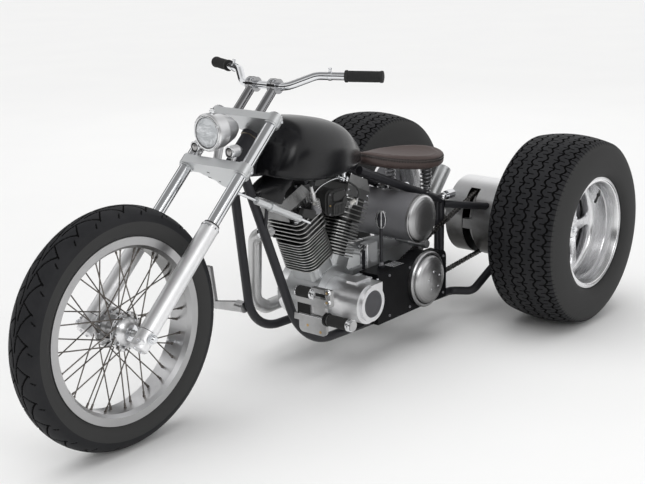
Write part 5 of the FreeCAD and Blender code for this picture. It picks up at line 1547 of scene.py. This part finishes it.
def belt_places(front, rear, gap):
    """Even places round the loop about two wheels, each with its (x, z) in millimetres."""
    (fx, fz, fr), (rx, rz, rr) = front, rear
    span = math.hypot(fx - rx, fz - rz)
    tilt = math.atan2(fz - rz, fx - rx)
    spread = math.acos((rr - fr) / span)
    line = []
    for step in range(121):
        turn = tilt + spread - 2 * spread * step / 120
        line.append((fx + fr * math.cos(turn), fz + fr * math.sin(turn)))
    for step in range(241):
        turn = tilt - spread - (TAU - 2 * spread) * step / 240
        line.append((rx + rr * math.cos(turn), rz + rr * math.sin(turn)))
    closed = np.array(line + line[:1])
    steps = np.concatenate([[0], np.cumsum(np.linalg.norm(np.diff(closed, axis=0), axis=1))])
    count = 2 * round(steps[-1] / gap / 2)
    along = np.arange(count) * steps[-1] / count
    return np.stack([np.interp(along, steps, closed[:, axis]) for axis in (0, 1)], 1)


def link_outline(length):
    """A chain plate: two round ends and a waist."""
    half, end, waist = length / 2, 7.0, 4.9
    left_turns, right_turns = np.radians((90, 135, 180, 225, 270)), np.radians((270, 315, 0, 45, 90))
    left = [(-half + end * math.cos(turn), end * math.sin(turn)) for turn in left_turns]
    right = [(half + end * math.cos(turn), end * math.sin(turn)) for turn in right_turns]
    return left + [(0, -waist)] + right + [(0, waist)]


class TRIKE_OT_chain(bpy.types.Operator):
    """Roller chain, the rear sprocket's teeth and painted shade inside the axle's slot"""
    bl_idname = "trike.chain"
    bl_label = "Chain drive"

    def execute(self, context):
        spots = belt_places(FRONT_SPROCKET, REAR_SPROCKET, CHAIN_PITCH)
        shell = Shell()
        for index, (x, z) in enumerate(spots):
            next_x, next_z = spots[(index + 1) % len(spots)]
            along = Vector((next_x - x, 0, next_z - z))
            middle_spot = at((x + next_x) / 2, CHAIN_Y, (z + next_z) / 2)
            near = 5.9 if index % 2 else 4.1
            outline = link_outline(along.length)
            for side in (1, -1):
                base = middle_spot + SIDE * (side * near * MM)
                shell.prism(outline, base, SIDE * side, 1.7, first=along)
            joint = at(x, CHAIN_Y - 8.3, z)
            shell.lathe([(0.5, 0), (2.6, 0), (2.6, 16.6), (0.5, 16.6)], joint, SIDE, 8, mark=1)
            shell.lathe([(5.0, 4.3), (5.0, 12.3)], joint, SIDE, 10, mark=1)
        shell.make("roller_chain", "chassis",
                   ["chain_steel", "chain_pin"], ["drive_chain"], 40, merge=False)
        self.teeth(spots)
        self.paint_slot_shade()
        return {"FINISHED"}

    def teeth(self, spots):
        shell = Shell()
        x, z = REAR_SPROCKET[:2]
        ahead = max(range(len(spots)), key=lambda index: spots[index][1])
        first = math.atan2(spots[ahead][1] - z, spots[ahead][0] - x)
        tooth = [(-4.6, 0), (4.6, 0), (3.6, 5), (1.6, 10.5), (-1.6, 10.5), (-3.6, 5)]
        for index in range(REAR_TEETH):
            turn = first + TAU * (index + 0.5) / REAR_TEETH
            foot = at(x + 122 * math.cos(turn), CHAIN_Y - 3, z + 122 * math.sin(turn))
            shell.prism(tooth, foot, SIDE, 6, first=Vector((-math.sin(turn), 0, math.cos(turn))) * -1)
        shell.make("sprocket_teeth", "chassis", ["stainless"], sharp=30)

    # Painted shade: dark sheets on the slot's two walls and a dark sleeve round its bore.
    def paint_slot_shade(self):
        shell = Shell()
        for y, side in ((98.3, 1), (141.7, -1)):
            base = at(0, y, 354.7)
            shell.lathe([(40.6, 0), (148.6, 0), (148.6, 0.5), (40.6, 0.5)], base, SIDE * side, 72)
        shell.lathe([(40.5, 98.5), (40.5, 141.5)], at(0, 0, 354.7), SIDE, 48)
        shell.make("slot_shade_sheets", "chassis", ["slot_black"], sharp=40)


# ---------------------------------------------------------------- engine and primary drive
CRANK = at(897, 0, 245)
GEARBOX = at(546, 0, 242)
OIL_TANK = at(515, 0, 452.4)
BANK = math.radians(22.5)
COVER_TOP = 218.3


def on_bank(sign, x, y, along):
    """A place in a cylinder's own frame: x ahead, y left, along its bore from the crank."""
    lean = sign * BANK
    ahead = Vector((math.cos(lean), 0, -math.sin(lean)))
    bore = Vector((math.sin(lean), 0, math.cos(lean)))
    return CRANK + (ahead * x + SIDE * y + bore * along) * MM


def bore_axis(sign):
    return Vector((math.sin(sign * BANK), 0, math.cos(BANK)))


class TRIKE_OT_engine(bpy.types.Operator):
    """Plugs, covers' screws, rocker ribs, fuel line and intake fittings of the engine"""
    bl_idname = "trike.engine"
    bl_label = "Engine fittings"

    def execute(self, context):
        self.tops()
        self.plugs()
        self.fuel()
        self.intake()
        self.right_side()
        self.exhaust()
        return {"FINISHED"}

    def tops(self):
        """Rocker covers' screws, their ribbed left faces and the heads' corner nuts."""
        shell = Shell()
        low = 346.6
        for sign, left in ((1, 40), (-1, 66)):
            up = bore_axis(sign)
            for x in (-56, 0, 56):
                shell.cap_screw(on_bank(sign, x, left - 0.4, low + 17), SIDE, 4.2)
                shell.cap_screw(on_bank(sign, x, -77.6, low + 17), -SIDE, 4.2)
            for x in (-34, 34):
                for y in (left - 24, -56):
                    shell.cap_screw(on_bank(sign, x, y, low + 73.6), up, 4.6)
            for y in (-58, 58):
                for x in (-54, 54):
                    shell.hex_head(on_bank(sign, x, y, 262 + 80), up, 7.5, 7, turn=0.4)
        for index in range(9):
            spot = on_bank(1, -58 + index * 13.4, 39.6, low + 4)
            shell.prism([(-1.1, 0), (1.1, 0), (1.1, 2.2), (-1.1, 2.2)], spot, bore_axis(1), 28,
                        first=on_bank(1, 1, 0, 0) - on_bank(1, 0, 0, 0), mark=1)
        for index in range(8):
            x = -44 + index * 11.6
            foot = on_bank(1, x * 1.06, 38.6, low + 35)
            head = on_bank(1, x * 0.86, 28.6, low + 72)
            shell.tube([foot, head], 1.3, 6, mark=1)
        shell.make("rocker_screws", "chassis", ["chrome", "rocker_alloy"], sharp=35)

    def plugs(self):
        shell = Shell()
        boots = (
            # foot, direction, and the skirt under the front one
            (at(1000, 74, 583), Vector((0.36, 0.1, 0.93))),
            (at(828, 84, 556), Vector((-0.3, 0.72, 0.62))),
        )
        for foot, lean in boots:
            lean = lean.normalized()
            shell.hex_head(foot - lean * (4 * MM), lean, 10.5, 11, 1, turn=0.2)
            shell.lathe([(7.5, 6), (7.5, 12), (6.4, 13), (6.4, 25), (5, 27), (0.5, 27)],
                        foot, lean, 20, mark=2)
        spot, lean = at(1000, 74, 583), Vector((0.36, 0.1, 0.93)).normalized()
        tower = [(8.6, 20), (9.4, 22), (9.4, 52), (7, 55), (5.6, 58), (5.6, 76), (4.4, 79), (0.5, 79)]
        shell.lathe(tower, spot, lean, 24, mark=1)
        base = [(19, -22), (17, -10), (13, 2), (9, 9), (0.5, 9)]
        shell.lathe(base, spot, lean, 28, mark=3)
        stack = at(991, 78, 572)
        for index in range(5):
            disc = stack + lean * (index * 8.5 * MM)
            shell.lathe([(4, 0), (11.5, 0.6), (12.2, 1.8), (11.5, 3), (4, 3.6), (4, 8.5)],
                        disc, lean, 24, mark=1)
        for level in (0, 10):
            rod = [at(842, 78, 556 + level), at(786, 78, 548 + level)]
            shell.tube(rod, 3.2, 10, mark=1)
        shell.tube([at(786, 78, 546), at(780, 80, 574)], 4.6, 12, mark=1)
        outline = [(-34, -14), (30, -14), (34, -6), (34, 10), (22, 16), (-26, 16), (-34, 8)]
        shell.prism(outline, at(1040, 62, 566), SIDE, 22, 2.5, first=Vector((0.93, 0, 0.3)), mark=4)
        lead_front = [at(1029, 84, 655), at(1022, 70, 678), at(1000, 40, 690), at(960, 20, 676)]
        shell.tube(smooth_path(lead_front, 14), 3.4, 10, mark=4)
        lead_rear = [at(818, 101, 574), at(806, 106, 590), at(800, 92, 612), at(826, 60, 640)]
        shell.tube(smooth_path(lead_rear, 14), 3.4, 10, mark=4)
        finishes = ["chrome", "stainless", "plug_white", "gunmetal", "black_plastic"]
        shell.make("spark_plugs", "chassis", finishes, sharp=35)

    def fuel(self):
        """Fuel tap with its lever, knobs and the line that arcs down into the V."""
        shell = Shell()
        tap = at(820, 54, 640)
        shell.lathe([(6, 2), (6, 20), (9, 22), (9, 30), (6.5, 32), (6.5, 50)], tap, UP, 20)
        shell.lathe([(0.5, -14), (8, -14), (9, -12), (9, 12), (8, 14), (0.5, 14)], tap, AHEAD, 22)
        shell.lathe([(0.5, -8), (7.5, -8), (8, 0), (7.5, 16), (5, 18), (0.5, 18)], tap, SIDE, 22)
        for tip in (at(858, 58, 656), at(786, 60, 614)):
            shell.tube([tap + SIDE * (8 * MM), tip], 2.6, 10)
            shell.lathe([(0.5, -5), (4.4, -4), (5, 0), (4.4, 4), (0.5, 5)], tip, tip - tap, 16)
        line = [tap + AHEAD * (12 * MM), at(868, 56, 650), at(905, 56, 648), at(950, 58, 640),
                at(978, 60, 628), at(994, 60, 610), at(998, 58, 596)]
        shell.tube(smooth_path(line, 12), 3.8, 12)
        for share in (0.02, 0.98):
            spot = line[0] if share < 0.5 else line[-1]
            shell.lathe([(4, -5), (6.2, -4), (6.2, 4), (4, 5)], spot, AHEAD if share < 0.5 else UP, 16)
        shell.make("fuel_line", "chassis", ["chrome"], ["fuel_tap"], 40)

    def intake(self):
        """Moulded body over the carburettor's left cover: float bowl, ribs, a cable drum and brass jets."""
        shell = Shell()
        face = at(901, 73, 577.3)
        turns = [TAU * index / 40 for index in range(40)]

        def rounded(half_x, half_z, x=0.0, z=0.0):
            return [(x + half_x * math.copysign(abs(math.cos(turn)) ** 0.4, math.cos(turn)),
                     -z - half_z * math.copysign(abs(math.sin(turn)) ** 0.4, math.sin(turn)))
                    for turn in turns]

        shell.prism(rounded(44, 41), face, SIDE, 14, 3, first=AHEAD)
        shell.prism(rounded(31, 13, -4, 24), face + SIDE * (14 * MM), SIDE, 9, 2, first=AHEAD)
        shell.prism(rounded(27, 19, 6, -18), face + SIDE * (14 * MM), SIDE, 15, 3, first=AHEAD)
        for index in range(6):
            spot = face + Vector((-14 + index * 8, 28.5, -18)) * MM
            shell.prism([(-1.3, -15), (1.3, -15), (1.3, 15), (-1.3, 15)], spot, SIDE, 2.4, 0.5, first=AHEAD)
        drum = face + Vector((-27, 12, 4)) * MM
        shell.lathe([(13, 0), (13, 5), (9, 6), (9, 12), (13, 13), (13, 17), (0.5, 18)], drum, SIDE, 28)
        for x, z in ((-38, 34), (38, 34), (38, -34), (-38, -34)):
            shell.cap_screw(face + Vector((x, 13.6, z)) * MM, SIDE, 3.4, mark=1)
        for x, z in ((-21, -31), (39, -4), (22, 24)):
            spot = face + Vector((x, 14, z)) * MM
            shell.lathe([(3.4, -2), (3.4, 5), (2.4, 6), (0.5, 6)], spot, SIDE, 12, mark=2)
        shell.make("carburettor_face", "chassis", ["black_plastic", "gunmetal", "brass"],
                   sharp=35)

    def right_side(self):
        """Screws of the timing cover, and the tubes' and the air cleaner's fittings."""
        shell = Shell()
        for index in range(10):
            turn = TAU * (index + 0.25) / 10
            spot = axle_place(CRANK, 88, turn, -111.8)
            if spot.z - CRANK.z > -72 * MM:
                shell.cap_screw(spot, -SIDE, 5)
        boss = CRANK + Vector((24, -123.8, 10)) * MM
        for index in range(5):
            turn = TAU * index / 5
            shell.cap_screw(boss + Vector((33 * math.cos(turn), 0, 33 * math.sin(turn))) * MM, -SIDE, 3.6)
        shell.lathe([(16, -0.2), (16, 1.6), (14, 2.4), (0.5, 2.4)], boss, -SIDE, 40, mark=1)
        for sign in (1, -1):
            for lean in (-24, 24):
                foot = on_bank(sign, lean * 0.49, -93, 110)
                head = on_bank(sign, lean * 0.97, -93, 352)
                along = (head - foot).normalized()
                for share, radius in ((0.02, 11.5), (0.1, 10.2), (0.5, 9.6), (0.93, 11)):
                    spot = foot + (head - foot) * share
                    shell.lathe([(8, -6), (radius, -5), (radius, 5), (8, 6)], spot, along, 22)
        cleaner = at(897, -150, 245 + 138 + 124.3 + 74)
        shell.lathe([(57, -0.6), (57, 1.4), (54, 2), (53, 0.4)], cleaner, -SIDE, 56)
        shell.lathe([(12, 0), (12, 3), (9, 5), (0.5, 5)], cleaner, -SIDE, 30)
        for index in range(3):
            turn = TAU * (index + 0.25) / 3
            shell.cap_screw(cleaner + Vector((40 * math.cos(turn), 0, 40 * math.sin(turn))) * MM, -SIDE, 4)
        for level in range(9):
            ring_spot = cleaner + SIDE * ((6 + level * 4.4) * MM)
            shell.lathe([(57.9, -0.9), (58.9, -0.4), (58.9, 0.4), (57.9, 0.9)], ring_spot, SIDE, 64, mark=1)
        shell.make("right_fittings", "chassis", ["chrome", "satin_alloy"], sharp=35)

    def exhaust(self):
        """Flanges at the ports and a clamp round each pipe."""
        shell = Shell()
        places = (
            (CRANK + Vector((170, -104, 233)) * MM, Vector((0.2, -0.85, -0.48)), 27),
            (CRANK + Vector((-182, -83, 256)) * MM, Vector((-0.72, -0.66, -0.14)), 27),
            (CRANK + Vector((-200, -181.3, -66)) * MM, Vector((-1, -0.04, 0)), 25.5),
            (CRANK + Vector((-470, -184, 34)) * MM, Vector((-0.98, -0.11, -0.1)), 25.5),
        )
        for spot, along, radius in places:
            along = along.normalized()
            shell.lathe([(24, -6), (radius, -5.4), (radius, 5.4), (24, 6)], spot, along, 36)
        shell.make("exhaust_collars", "chassis", ["chrome"], sharp=40)


class TRIKE_OT_primary(bpy.types.Operator):
    """Clutch cover's groove and screws, the deck's grid, the housing's screws and the tank's fittings"""
    bl_idname = "trike.primary"
    bl_label = "Primary drive and oil tank"

    def execute(self, context):
        self.clutch()
        self.deck()
        self.housing()
        self.oil_tank()
        self.lever()
        return {"FINISHED"}

    def clutch(self):
        shell = Shell()
        centre = GEARBOX + SIDE * (COVER_TOP * MM)
        # Painted shade: a thin dark ring stands for the cover's groove.
        shell.lathe([(88.4, -2), (88.4, -0.4), (93.6, -0.6), (93.6, -2)], centre, SIDE, 96, mark=1)
        for index in range(5):
            turn = TAU * (index + 0.15) / 5
            radius = 34.0
            rise = 27.7 * math.sqrt(1 - (radius / 88) ** 2) - 1.3
            spot = centre + Vector((radius * math.cos(turn), rise, radius * math.sin(turn))) * MM
            shell.cap_screw(spot, SIDE, 4.6, height=3.2)
        shell.make("clutch_fittings", "chassis", ["chrome", "slot_black"], sharp=35)

    def deck(self):
        """Slotted silver grid on the deck beside the clutch, and the case's screws."""
        shell = Shell()
        for row in range(4):
            for column in range(7):
                spot = at(664 + column * 9, 150 + row * 12, 315.2 + 8.3)
                bar = [(-3, -4.6), (3, -4.6), (3, 4.6), (-3, 4.6)]
                shell.prism(bar, spot, UP, 2.2, 0.6, first=AHEAD)
        for x, z in ((430, 160), (430, 300), (640, 160), (640, 306), (760, 160), (760, 306), (820, 232)):
            shell.cap_screw(at(x, 201, z) if x < 822 else at(x, 201, z), SIDE, 4.6, mark=1)
        shell.make("primary_fittings", "chassis", ["chrome", "gunmetal"], sharp=35)

    def housing(self):
        """Ring of screws in the bore and on the pad of the machined housing."""
        shell = Shell()
        for index in range(6):
            turn = TAU * (index + 0.5) / 6
            shell.cap_screw(axle_place(CRANK, 36, turn, 166.6), SIDE, 4.2, mark=1)
        shell.lathe([(46.8, 166.9), (20, 166.9), (20, 172), (14, 174), (0.5, 174)], CRANK, SIDE, 48, mark=1)
        for x, y in ((-40, 196), (-40, 224)):
            shell.cap_screw(CRANK + Vector((x, y, 74)) * MM - UP * (0.4 * MM), UP, 4)
        shell.make("housing_fittings", "chassis", ["chrome", "gunmetal"], sharp=35)

    def oil_tank(self):
        """Polished breather under the tank and the filler on its top."""
        shell = Shell()
        breather = at(490, 0, 352.5)
        sleeve = [(11.6, 96), (15, 96), (15.6, 97), (15.6, 170), (14.6, 173), (0.5, 173)]
        shell.lathe(sleeve, breather, SIDE, 36, mark=1)
        filler = OIL_TANK + Vector((-34, -40, 76)) * MM
        shell.lathe([(20, -8), (20, 6), (24, 7), (24, 16), (21, 18), (0.5, 18)],
                    filler, Vector((-0.3, 0, 1)), 36)
        shell.make("oil_tank_fittings", "chassis", ["chrome", "bright_alloy"], sharp=35)

    def lever(self):
        """Polished knob over the stalk, its boot, and the bracket's two blocks."""
        shell = Shell()
        foot = at(746, 156, 323.3)
        knob = foot + UP * (172 * MM)
        outline = [(7, -29), (9.5, -28.6), (17.6, -18.4), (20.6, 6), (15.6, 24.5), (8.4, 31.6), (0.5, 31.6)]
        shell.lathe(outline, knob, UP, 7, mark=2)
        shell.lathe([(6.2, 8), (9, 9), (9, 17), (6.2, 19)], foot, UP, 24, mark=1)
        for index in range(3):
            turn = TAU * index / 3
            spot = foot + Vector((10 * math.cos(turn), 10 * math.sin(turn), 8)) * MM
            shell.cap_screw(spot, UP, 2, mark=1)
        shell.make("shift_knob", "chassis", ["chrome", "gunmetal", "bright_alloy"], sharp=20)
        block = Shell()
        low = at(715.6, 86, 301)
        side = [(0, 0), (30, 0), (30, 106.4), (0, 106.4)]
        block.prism(side, low + Vector((31, 34, 0)) * MM, SIDE, 0.8, first=AHEAD)
        face = low + Vector((62.2, 0, 0)) * MM
        outline = [(2, 2), (32, 2), (32, 104), (2, 104)]
        block.prism(outline, face, AHEAD, 0.8, 0.2, first=SIDE, mark=1)
        block.prism([(10, 14), (25, 14), (25, 84), (10, 84)],
                    face + AHEAD * (0.8 * MM), AHEAD, 0.3, first=SIDE)
        for z in (9, 96):
            block.cap_screw(face + Vector((0.8, 17, z)) * MM, AHEAD, 4)
        block.make("bracket_faces", "chassis", ["satin_black", "polished_alloy"], sharp=35)


# ---------------------------------------------------------------- foot controls
FOOT_ROOT = at(1146.14, 125.11, 306)
BRAKE_PIVOT = at(1163.64, -143, 236)


class TRIKE_OT_feet(bpy.types.Operator):
    """Rubber sleeves and ends of the left pegs, their pivots and clamps, and the brake lever's pivot screw"""
    bl_idname = "trike.feet"
    bl_label = "Foot controls"

    def execute(self, context):
        root = FOOT_ROOT
        shell = Shell()
        toe = root + Vector((12, 2, 34)) * MM
        rest = root + Vector((12, 131, -42)) * MM
        for start, reach in ((toe, 60), (rest, 76)):
            profile = [(12, 3), (18.7, 4)]
            rib = 6.0
            while rib < reach:
                profile += [(19.1, rib), (19.1, rib + 2.6), (18.1, rib + 3), (18.1, rib + 4)]
                rib += 4.4
            profile += [(18.7, reach + 1), (17.2, reach + 2)]
            shell.lathe(profile, start, SIDE, 32)
        knurl = [(17.2, -2), (20.2, -1.4), (20.8, 0), (20.8, 13), (19.6, 15), (13, 15), (12, 13), (0.5, 13)]
        shell.lathe(knurl, toe + SIDE * (62 * MM), SIDE, 12, mark=1)
        shell.lathe(knurl, rest + SIDE * (82 * MM), SIDE, 32, mark=1)
        shell.lathe([(0.5, -2), (15, -2), (18.4, 0), (18.4, 4)], toe, SIDE, 28, mark=1)
        for drop in (20, 52):
            spot = root + Vector((24, 135, drop)) * MM
            shell.lathe([(11, -6), (11.4, 1), (10, 3), (5, 3), (4.4, 1), (0.5, 1)], spot, AHEAD, 24, mark=1)
            shell.lathe([(4.3, 1.2), (0.5, 1.4)], spot, AHEAD, 12, mark=3)
        for y, z in ((44, -76), (98, -90)):
            spot = root + Vector((16, y, z)) * MM
            shell.lathe([(5, -0.5), (5, 0.5), (0.5, 0.6)], spot, AHEAD, 16, mark=3)
        window = [(0, 0), (40, 0), (40, 11), (0, 11)]
        shell.prism(window, root + Vector((21.2, 84, 33)) * MM, AHEAD, 0.4, first=SIDE, mark=2)
        block = [(0, 0), (54, 0), (54, 42), (0, 42)]
        shell.prism(block, root + Vector((22.2, 8, -39.5)) * MM, AHEAD, 0.6, first=SIDE, mark=2)
        shell.tube([root + Vector((24.4, 17, -37)) * MM,
                    root + Vector((24.4, 116, -37)) * MM], 2.4, 8, mark=1)
        shell.lathe([(9.2, 0), (21, 1), (22, 4), (22, 12), (18, 14)],
                    root + Vector((12, 117, -42)) * MM, SIDE, 28, mark=2)
        finishes = ["grip_rubber", "polished_alloy", "slot_black", "brass"]
        shell.make("foot_fittings", "chassis", finishes, sharp=35)
        self.right_side()
        return {"FINISHED"}

    def right_side(self):
        """Pivot screw of the brake lever."""
        shell = Shell()
        shell.hex_head(BRAKE_PIVOT, -SIDE, 9, 7, turn=0.2)
        shell.make("brake_pivot", "chassis", ["chrome"], sharp=35)


# ---------------------------------------------------------------- rear axle and wheels
class TRIKE_OT_rear(bpy.types.Operator):
    """Hub caps, wheel nuts, valves, drum screws and the slot's closed end"""
    bl_idname = "trike.rear"
    bl_label = "Rear axle fittings"

    def execute(self, context):
        for side, name, centre in ((1, "left", REAR_LEFT), (-1, "right", REAR_RIGHT)):
            self.wheel(side, name, centre)
        self.drum()
        return {"FINISHED"}

    def wheel(self, side, name, centre):
        """Deep stepped barrel with five sculpted spokes about a coned hub."""
        out = SIDE * side
        node = "rear_rim_" + name
        low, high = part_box(node)
        flange = (high.z - low.z) / 2 / MM - 0.2
        half = (high.y - low.y) / 2 / MM - 0.2
        shell = Shell()
        section = [
            (191, -half), (flange, -half), (flange, 4 - half), (191, 4 - half), (179, 34 - half),
            (179, half - 34),
            (191, half - 4), (flange, half - 4), (flange, half), (206, half + 0.1), (204.6, half - 1.6),
            (199, half - 2), (196, half - 0.6), (193, half - 1.2), (190, half - 6), (188.6, half - 16),
            (189, half - 36), (187.4, half - 39), (181, half - 41), (178, half - 45), (177.4, 34),
            (173.6, 25), (170, 21.5), (165, 20), (163, 16), (163, -6), (168, -12), (176, -18),
            (176, 38 - half), (187, 6 - half),
        ]
        shell.lathe(section + section[:1], centre, out, 120)
        hub = [(0.5, 43), (15, 43), (17, 41), (31, 40.4), (35, 36),
               (44, 34), (50, 24), (60, 14), (62, 6), (62, -9.8), (0.5, -9.8)]
        shell.lathe(hub, centre, out, 60)
        shell.lathe([(0.5, 50), (9, 50), (12.5, 47), (13, 42.5)], centre, out, 32, mark=1)
        shell.lathe([(172, -34), (60, -26), (58, -12), (166, -20)], centre, out, 72, mark=3)
        for index in range(5):
            self.spoke(shell, centre, side, math.radians(34 + 72 * index))
            turn = math.radians(70 + 72 * index)
            shell.hex_head(axle_place(centre, 52, turn, side * 15), out, 9, 13, 1, turn=turn)
        spot = axle_place(centre, 176, math.radians(142), side * 66)
        inward = (centre + out * (76 * MM) - spot).normalized()
        shell.lathe([(7, 0), (5, 3), (4, 6), (4, 24), (5, 25), (5, 36), (0.5, 37)], spot, inward, 16, mark=2)
        finishes = ["wheel_alloy", "chrome", "black_plastic", "gunmetal"]
        shell.make(node + "_spoked", "rear_wheel_" + name, finishes, [node], 35)

    @staticmethod
    def spoke(shell, centre, side, turn):
        """One spoke: a crowned bar that widens into the hub and the barrel."""
        along = Vector((math.cos(turn), 0, math.sin(turn)))
        across = Vector((-math.sin(turn), 0, math.cos(turn)))
        rows = []
        for step in range(15):
            share = step / 14
            radius = 38 + 130 * share
            flare = 10 * max(0, share - 0.72) ** 1.6 * 9 + 9 * max(0, 0.3 - share) ** 1.4 * 5
            half_width = 21 - 3 * math.sin(math.pi * share) + flare
            front = 35 - 17 * share + 3.5 * math.sin(math.pi * share)
            back = front - 24
            row = []
            for corner in range(20):
                angle = TAU * corner / 20
                flat = abs(math.cos(angle)) ** 0.75 * math.copysign(1, math.cos(angle))
                crown = abs(math.sin(angle)) ** 0.6 * math.copysign(1, math.sin(angle))
                y = (front + back) / 2 + (front - back) / 2 * crown
                row.append(
                    tuple(centre + (along * radius + across * (flat * half_width) + SIDE * (side * y)) * MM))
            rows.append(row)
        shell.grid(rows, wrap_columns=True)

    def drum(self):
        shell = Shell()
        for y, out in ((292.2, SIDE), (21.8, -SIDE)):
            for index in range(12):
                turn = TAU * index / 12
                shell.cap_screw(axle_place(REAR_AXLE, 136, turn, y), out, 5)
        rows = []
        for step in range(25):
            turn = math.radians(56 + 66 * step / 24)
            rows.append([axle_place(REAR_AXLE, radius, turn, y) for radius, y in
                         ((144, 98.1), (149.85, 98.1), (149.85, 141.9), (144, 141.9))])
        start = shell.count
        shell.grid([[tuple(place) for place in row] for row in rows], wrap_columns=True, mark=1)
        shell.faces += [list(range(start + 3, start - 1, -1)), list(range(start + 96, start + 100))]
        shell.marks += [1, 1]
        shell.make("axle_fittings", "chassis", ["chrome", "drum_alloy"], sharp=35)


class TRIKE_OT_stage(bpy.types.Operator):
    """Pale paper floor, soft studio lamps and the camera"""
    bl_idname = "trike.stage"
    bl_label = "Stage"

    def execute(self, context):
        scene = context.scene
        scene.view_settings.view_transform = "Standard"
        self.floor(scene)
        self.lamps(scene)
        self.cards(scene)
        self.sky(scene)
        self.camera(scene)
        return {"FINISHED"}

    def floor(self, scene):
        mesh = bpy.data.meshes.new("floor")
        reach = 30.0
        corners = [(-reach, -reach, 0), (reach, -reach, 0), (reach, reach, 0), (-reach, reach, 0)]
        mesh.from_pydata(corners, [], [(0, 1, 2, 3)])
        floor = bpy.data.objects.new("floor", mesh)
        mesh.materials.append(get_finish("studio_paper"))
        scene.collection.objects.link(floor)

    def lamps(self, scene):
        over = bpy.data.lights.new("over", "SUN")
        over.energy = scene.trike_stage.sun
        over.angle = math.radians(70)
        self.aim("over", over, (0.5, -0.5, 3.0), (0, 0, 0), scene, False)
        for name, place, aim, size, watts, mirrored in (
            ("left_box", (2.0, 4.5, 3.0), (0.1, 0, 0.5), 2.0, 45.0, True),
            ("back_box", (-4.0, -3.0, 3.2), (-0.2, 0, 0.5), 2.4, 14.0, False),
        ):
            light = bpy.data.lights.new(name, "AREA")
            light.size = size
            light.energy = watts
            self.aim(name, light, place, aim, scene, mirrored)

    def aim(self, name, light, place, target, scene, mirrored):
        lamp = bpy.data.objects.new(name, light)
        self.face(lamp, place, target)
        lamp.visible_glossy = mirrored
        scene.collection.objects.link(lamp)

    def cards(self, scene):
        """Dark curved walls out of view, which give the polished metal something to reflect."""
        for name, first, last, low, high in (
            ("dark_wall", -62, 84, 0.5, 4.2), ("left_wall", 96, 132, 0.0, 1.5),
            ("right_wall", -135, -88, 0.0, 4.2),
        ):
            rows = []
            for height in (low, high):
                turns = np.radians(np.linspace(first, last, 31))
                rows.append([(7 * math.cos(turn), 7 * math.sin(turn), height) for turn in turns])
            mesh = bpy.data.meshes.new(name)
            count = len(rows[0])
            faces = [(index, index + 1, count + index + 1, count + index) for index in range(count - 1)]
            mesh.from_pydata(rows[0] + rows[1], [], faces)
            mesh.materials.append(get_finish("card_black"))
            card = bpy.data.objects.new(name, mesh)
            scene.collection.objects.link(card)
            card.visible_camera = False
            card.visible_diffuse = False
            card.visible_shadow = False

    @staticmethod
    def face(piece, place, target):
        piece.location = place
        piece.rotation_mode = "QUATERNION"
        piece.rotation_quaternion = (Vector(target) - Vector(place)).to_track_quat("-Z", "Y")

    def sky(self, scene):
        world = bpy.data.worlds.new("studio")
        world.use_nodes = True
        scene.world = world
        graph = Graph(world.node_tree)
        path = graph.tree.nodes.new("ShaderNodeLightPath")
        seen = [Value(graph, path.outputs[name])
                for name in ("Is Camera Ray", "Is Glossy Ray", "Is Transmission Ray")]
        shown = seen[0] + seen[1] + seen[2]
        parts = graph.tree.nodes.new("ShaderNodeSeparateXYZ")
        graph.feed(parts.inputs[0], graph.node("ShaderNodeTexCoord", output="Generated"))
        height = Value(graph, parts.outputs[2])
        bright = scene.trike_stage.backdrop
        backdrop = graph.span(height, 0.62, 0.8, bright, 0.3 * bright)
        level = graph.span(shown, 0.0, 1.0, scene.trike_stage.sky, backdrop)
        shader = graph.node("ShaderNodeBackground", None, {"Color": (1, 1, 1), "Strength": level})
        graph.node("ShaderNodeOutputWorld", None, {"Surface": shader})

    def camera(self, scene):
        across = Vector((-0.63775, 0.77004, -0.01800)).normalized()
        toward = Vector((-0.7395, -0.6186, -0.2653)).normalized()
        over = across.cross(toward).normalized()
        camera = bpy.data.cameras.new("camera")
        camera.sensor_width = 36.0
        camera.lens = 68.12
        camera.clip_end = 100.0
        eye = bpy.data.objects.new("camera", camera)
        turn = Matrix((across, over, -toward)).transposed()
        eye.matrix_world = Matrix.Translation(at(4012.6, 2623.1, 1544.7)) @ turn.to_4x4()
        scene.collection.objects.link(eye)
        scene.camera = eye


class TRIKE_PT_panel(bpy.types.Panel):
    bl_label = "Motorized trike"
    bl_idname = "TRIKE_PT_panel"
    bl_space_type = "VIEW_3D"
    bl_region_type = "UI"
    bl_category = "Trike"

    def draw(self, context):
        for name in SETTINGS:
            group = getattr(context.scene, name)
            for field in group.bl_rna.properties.keys():
                if field not in ("rna_type", "name"):
                    self.layout.prop(group, field)
        for operator in OPERATORS:
            self.layout.operator(operator.bl_idname)


OPERATORS = (
    TRIKE_OT_finishes,
    TRIKE_OT_front_tyre,
    TRIKE_OT_rear_tyres,
    TRIKE_OT_saddle,
    TRIKE_OT_tank,
    TRIKE_OT_lamps,
    TRIKE_OT_controls,
    TRIKE_OT_front_wheel,
    TRIKE_OT_chain,
    TRIKE_OT_engine,
    TRIKE_OT_primary,
    TRIKE_OT_feet,
    TRIKE_OT_rear,
    TRIKE_OT_stage,
)
SETTINGS = {"trike_tyres": TrikeTyres, "trike_colours": TrikeColours, "trike_stage": TrikeStage}
CLASSES = tuple(SETTINGS.values()) + OPERATORS + (TRIKE_PT_panel,)


def register():
    for kind in CLASSES:
        bpy.utils.register_class(kind)
    for name, group in SETTINGS.items():
        setattr(bpy.types.Scene, name, PointerProperty(type=group))


def unregister():
    for name in SETTINGS:
        delattr(bpy.types.Scene, name)
    for kind in reversed(CLASSES):
        bpy.utils.unregister_class(kind)


def main():
    register()
    for operator in OPERATORS:
        group, name = operator.bl_idname.split(".")
        getattr(getattr(bpy.ops, group), name)()


if __name__ == "__main__":
    main()
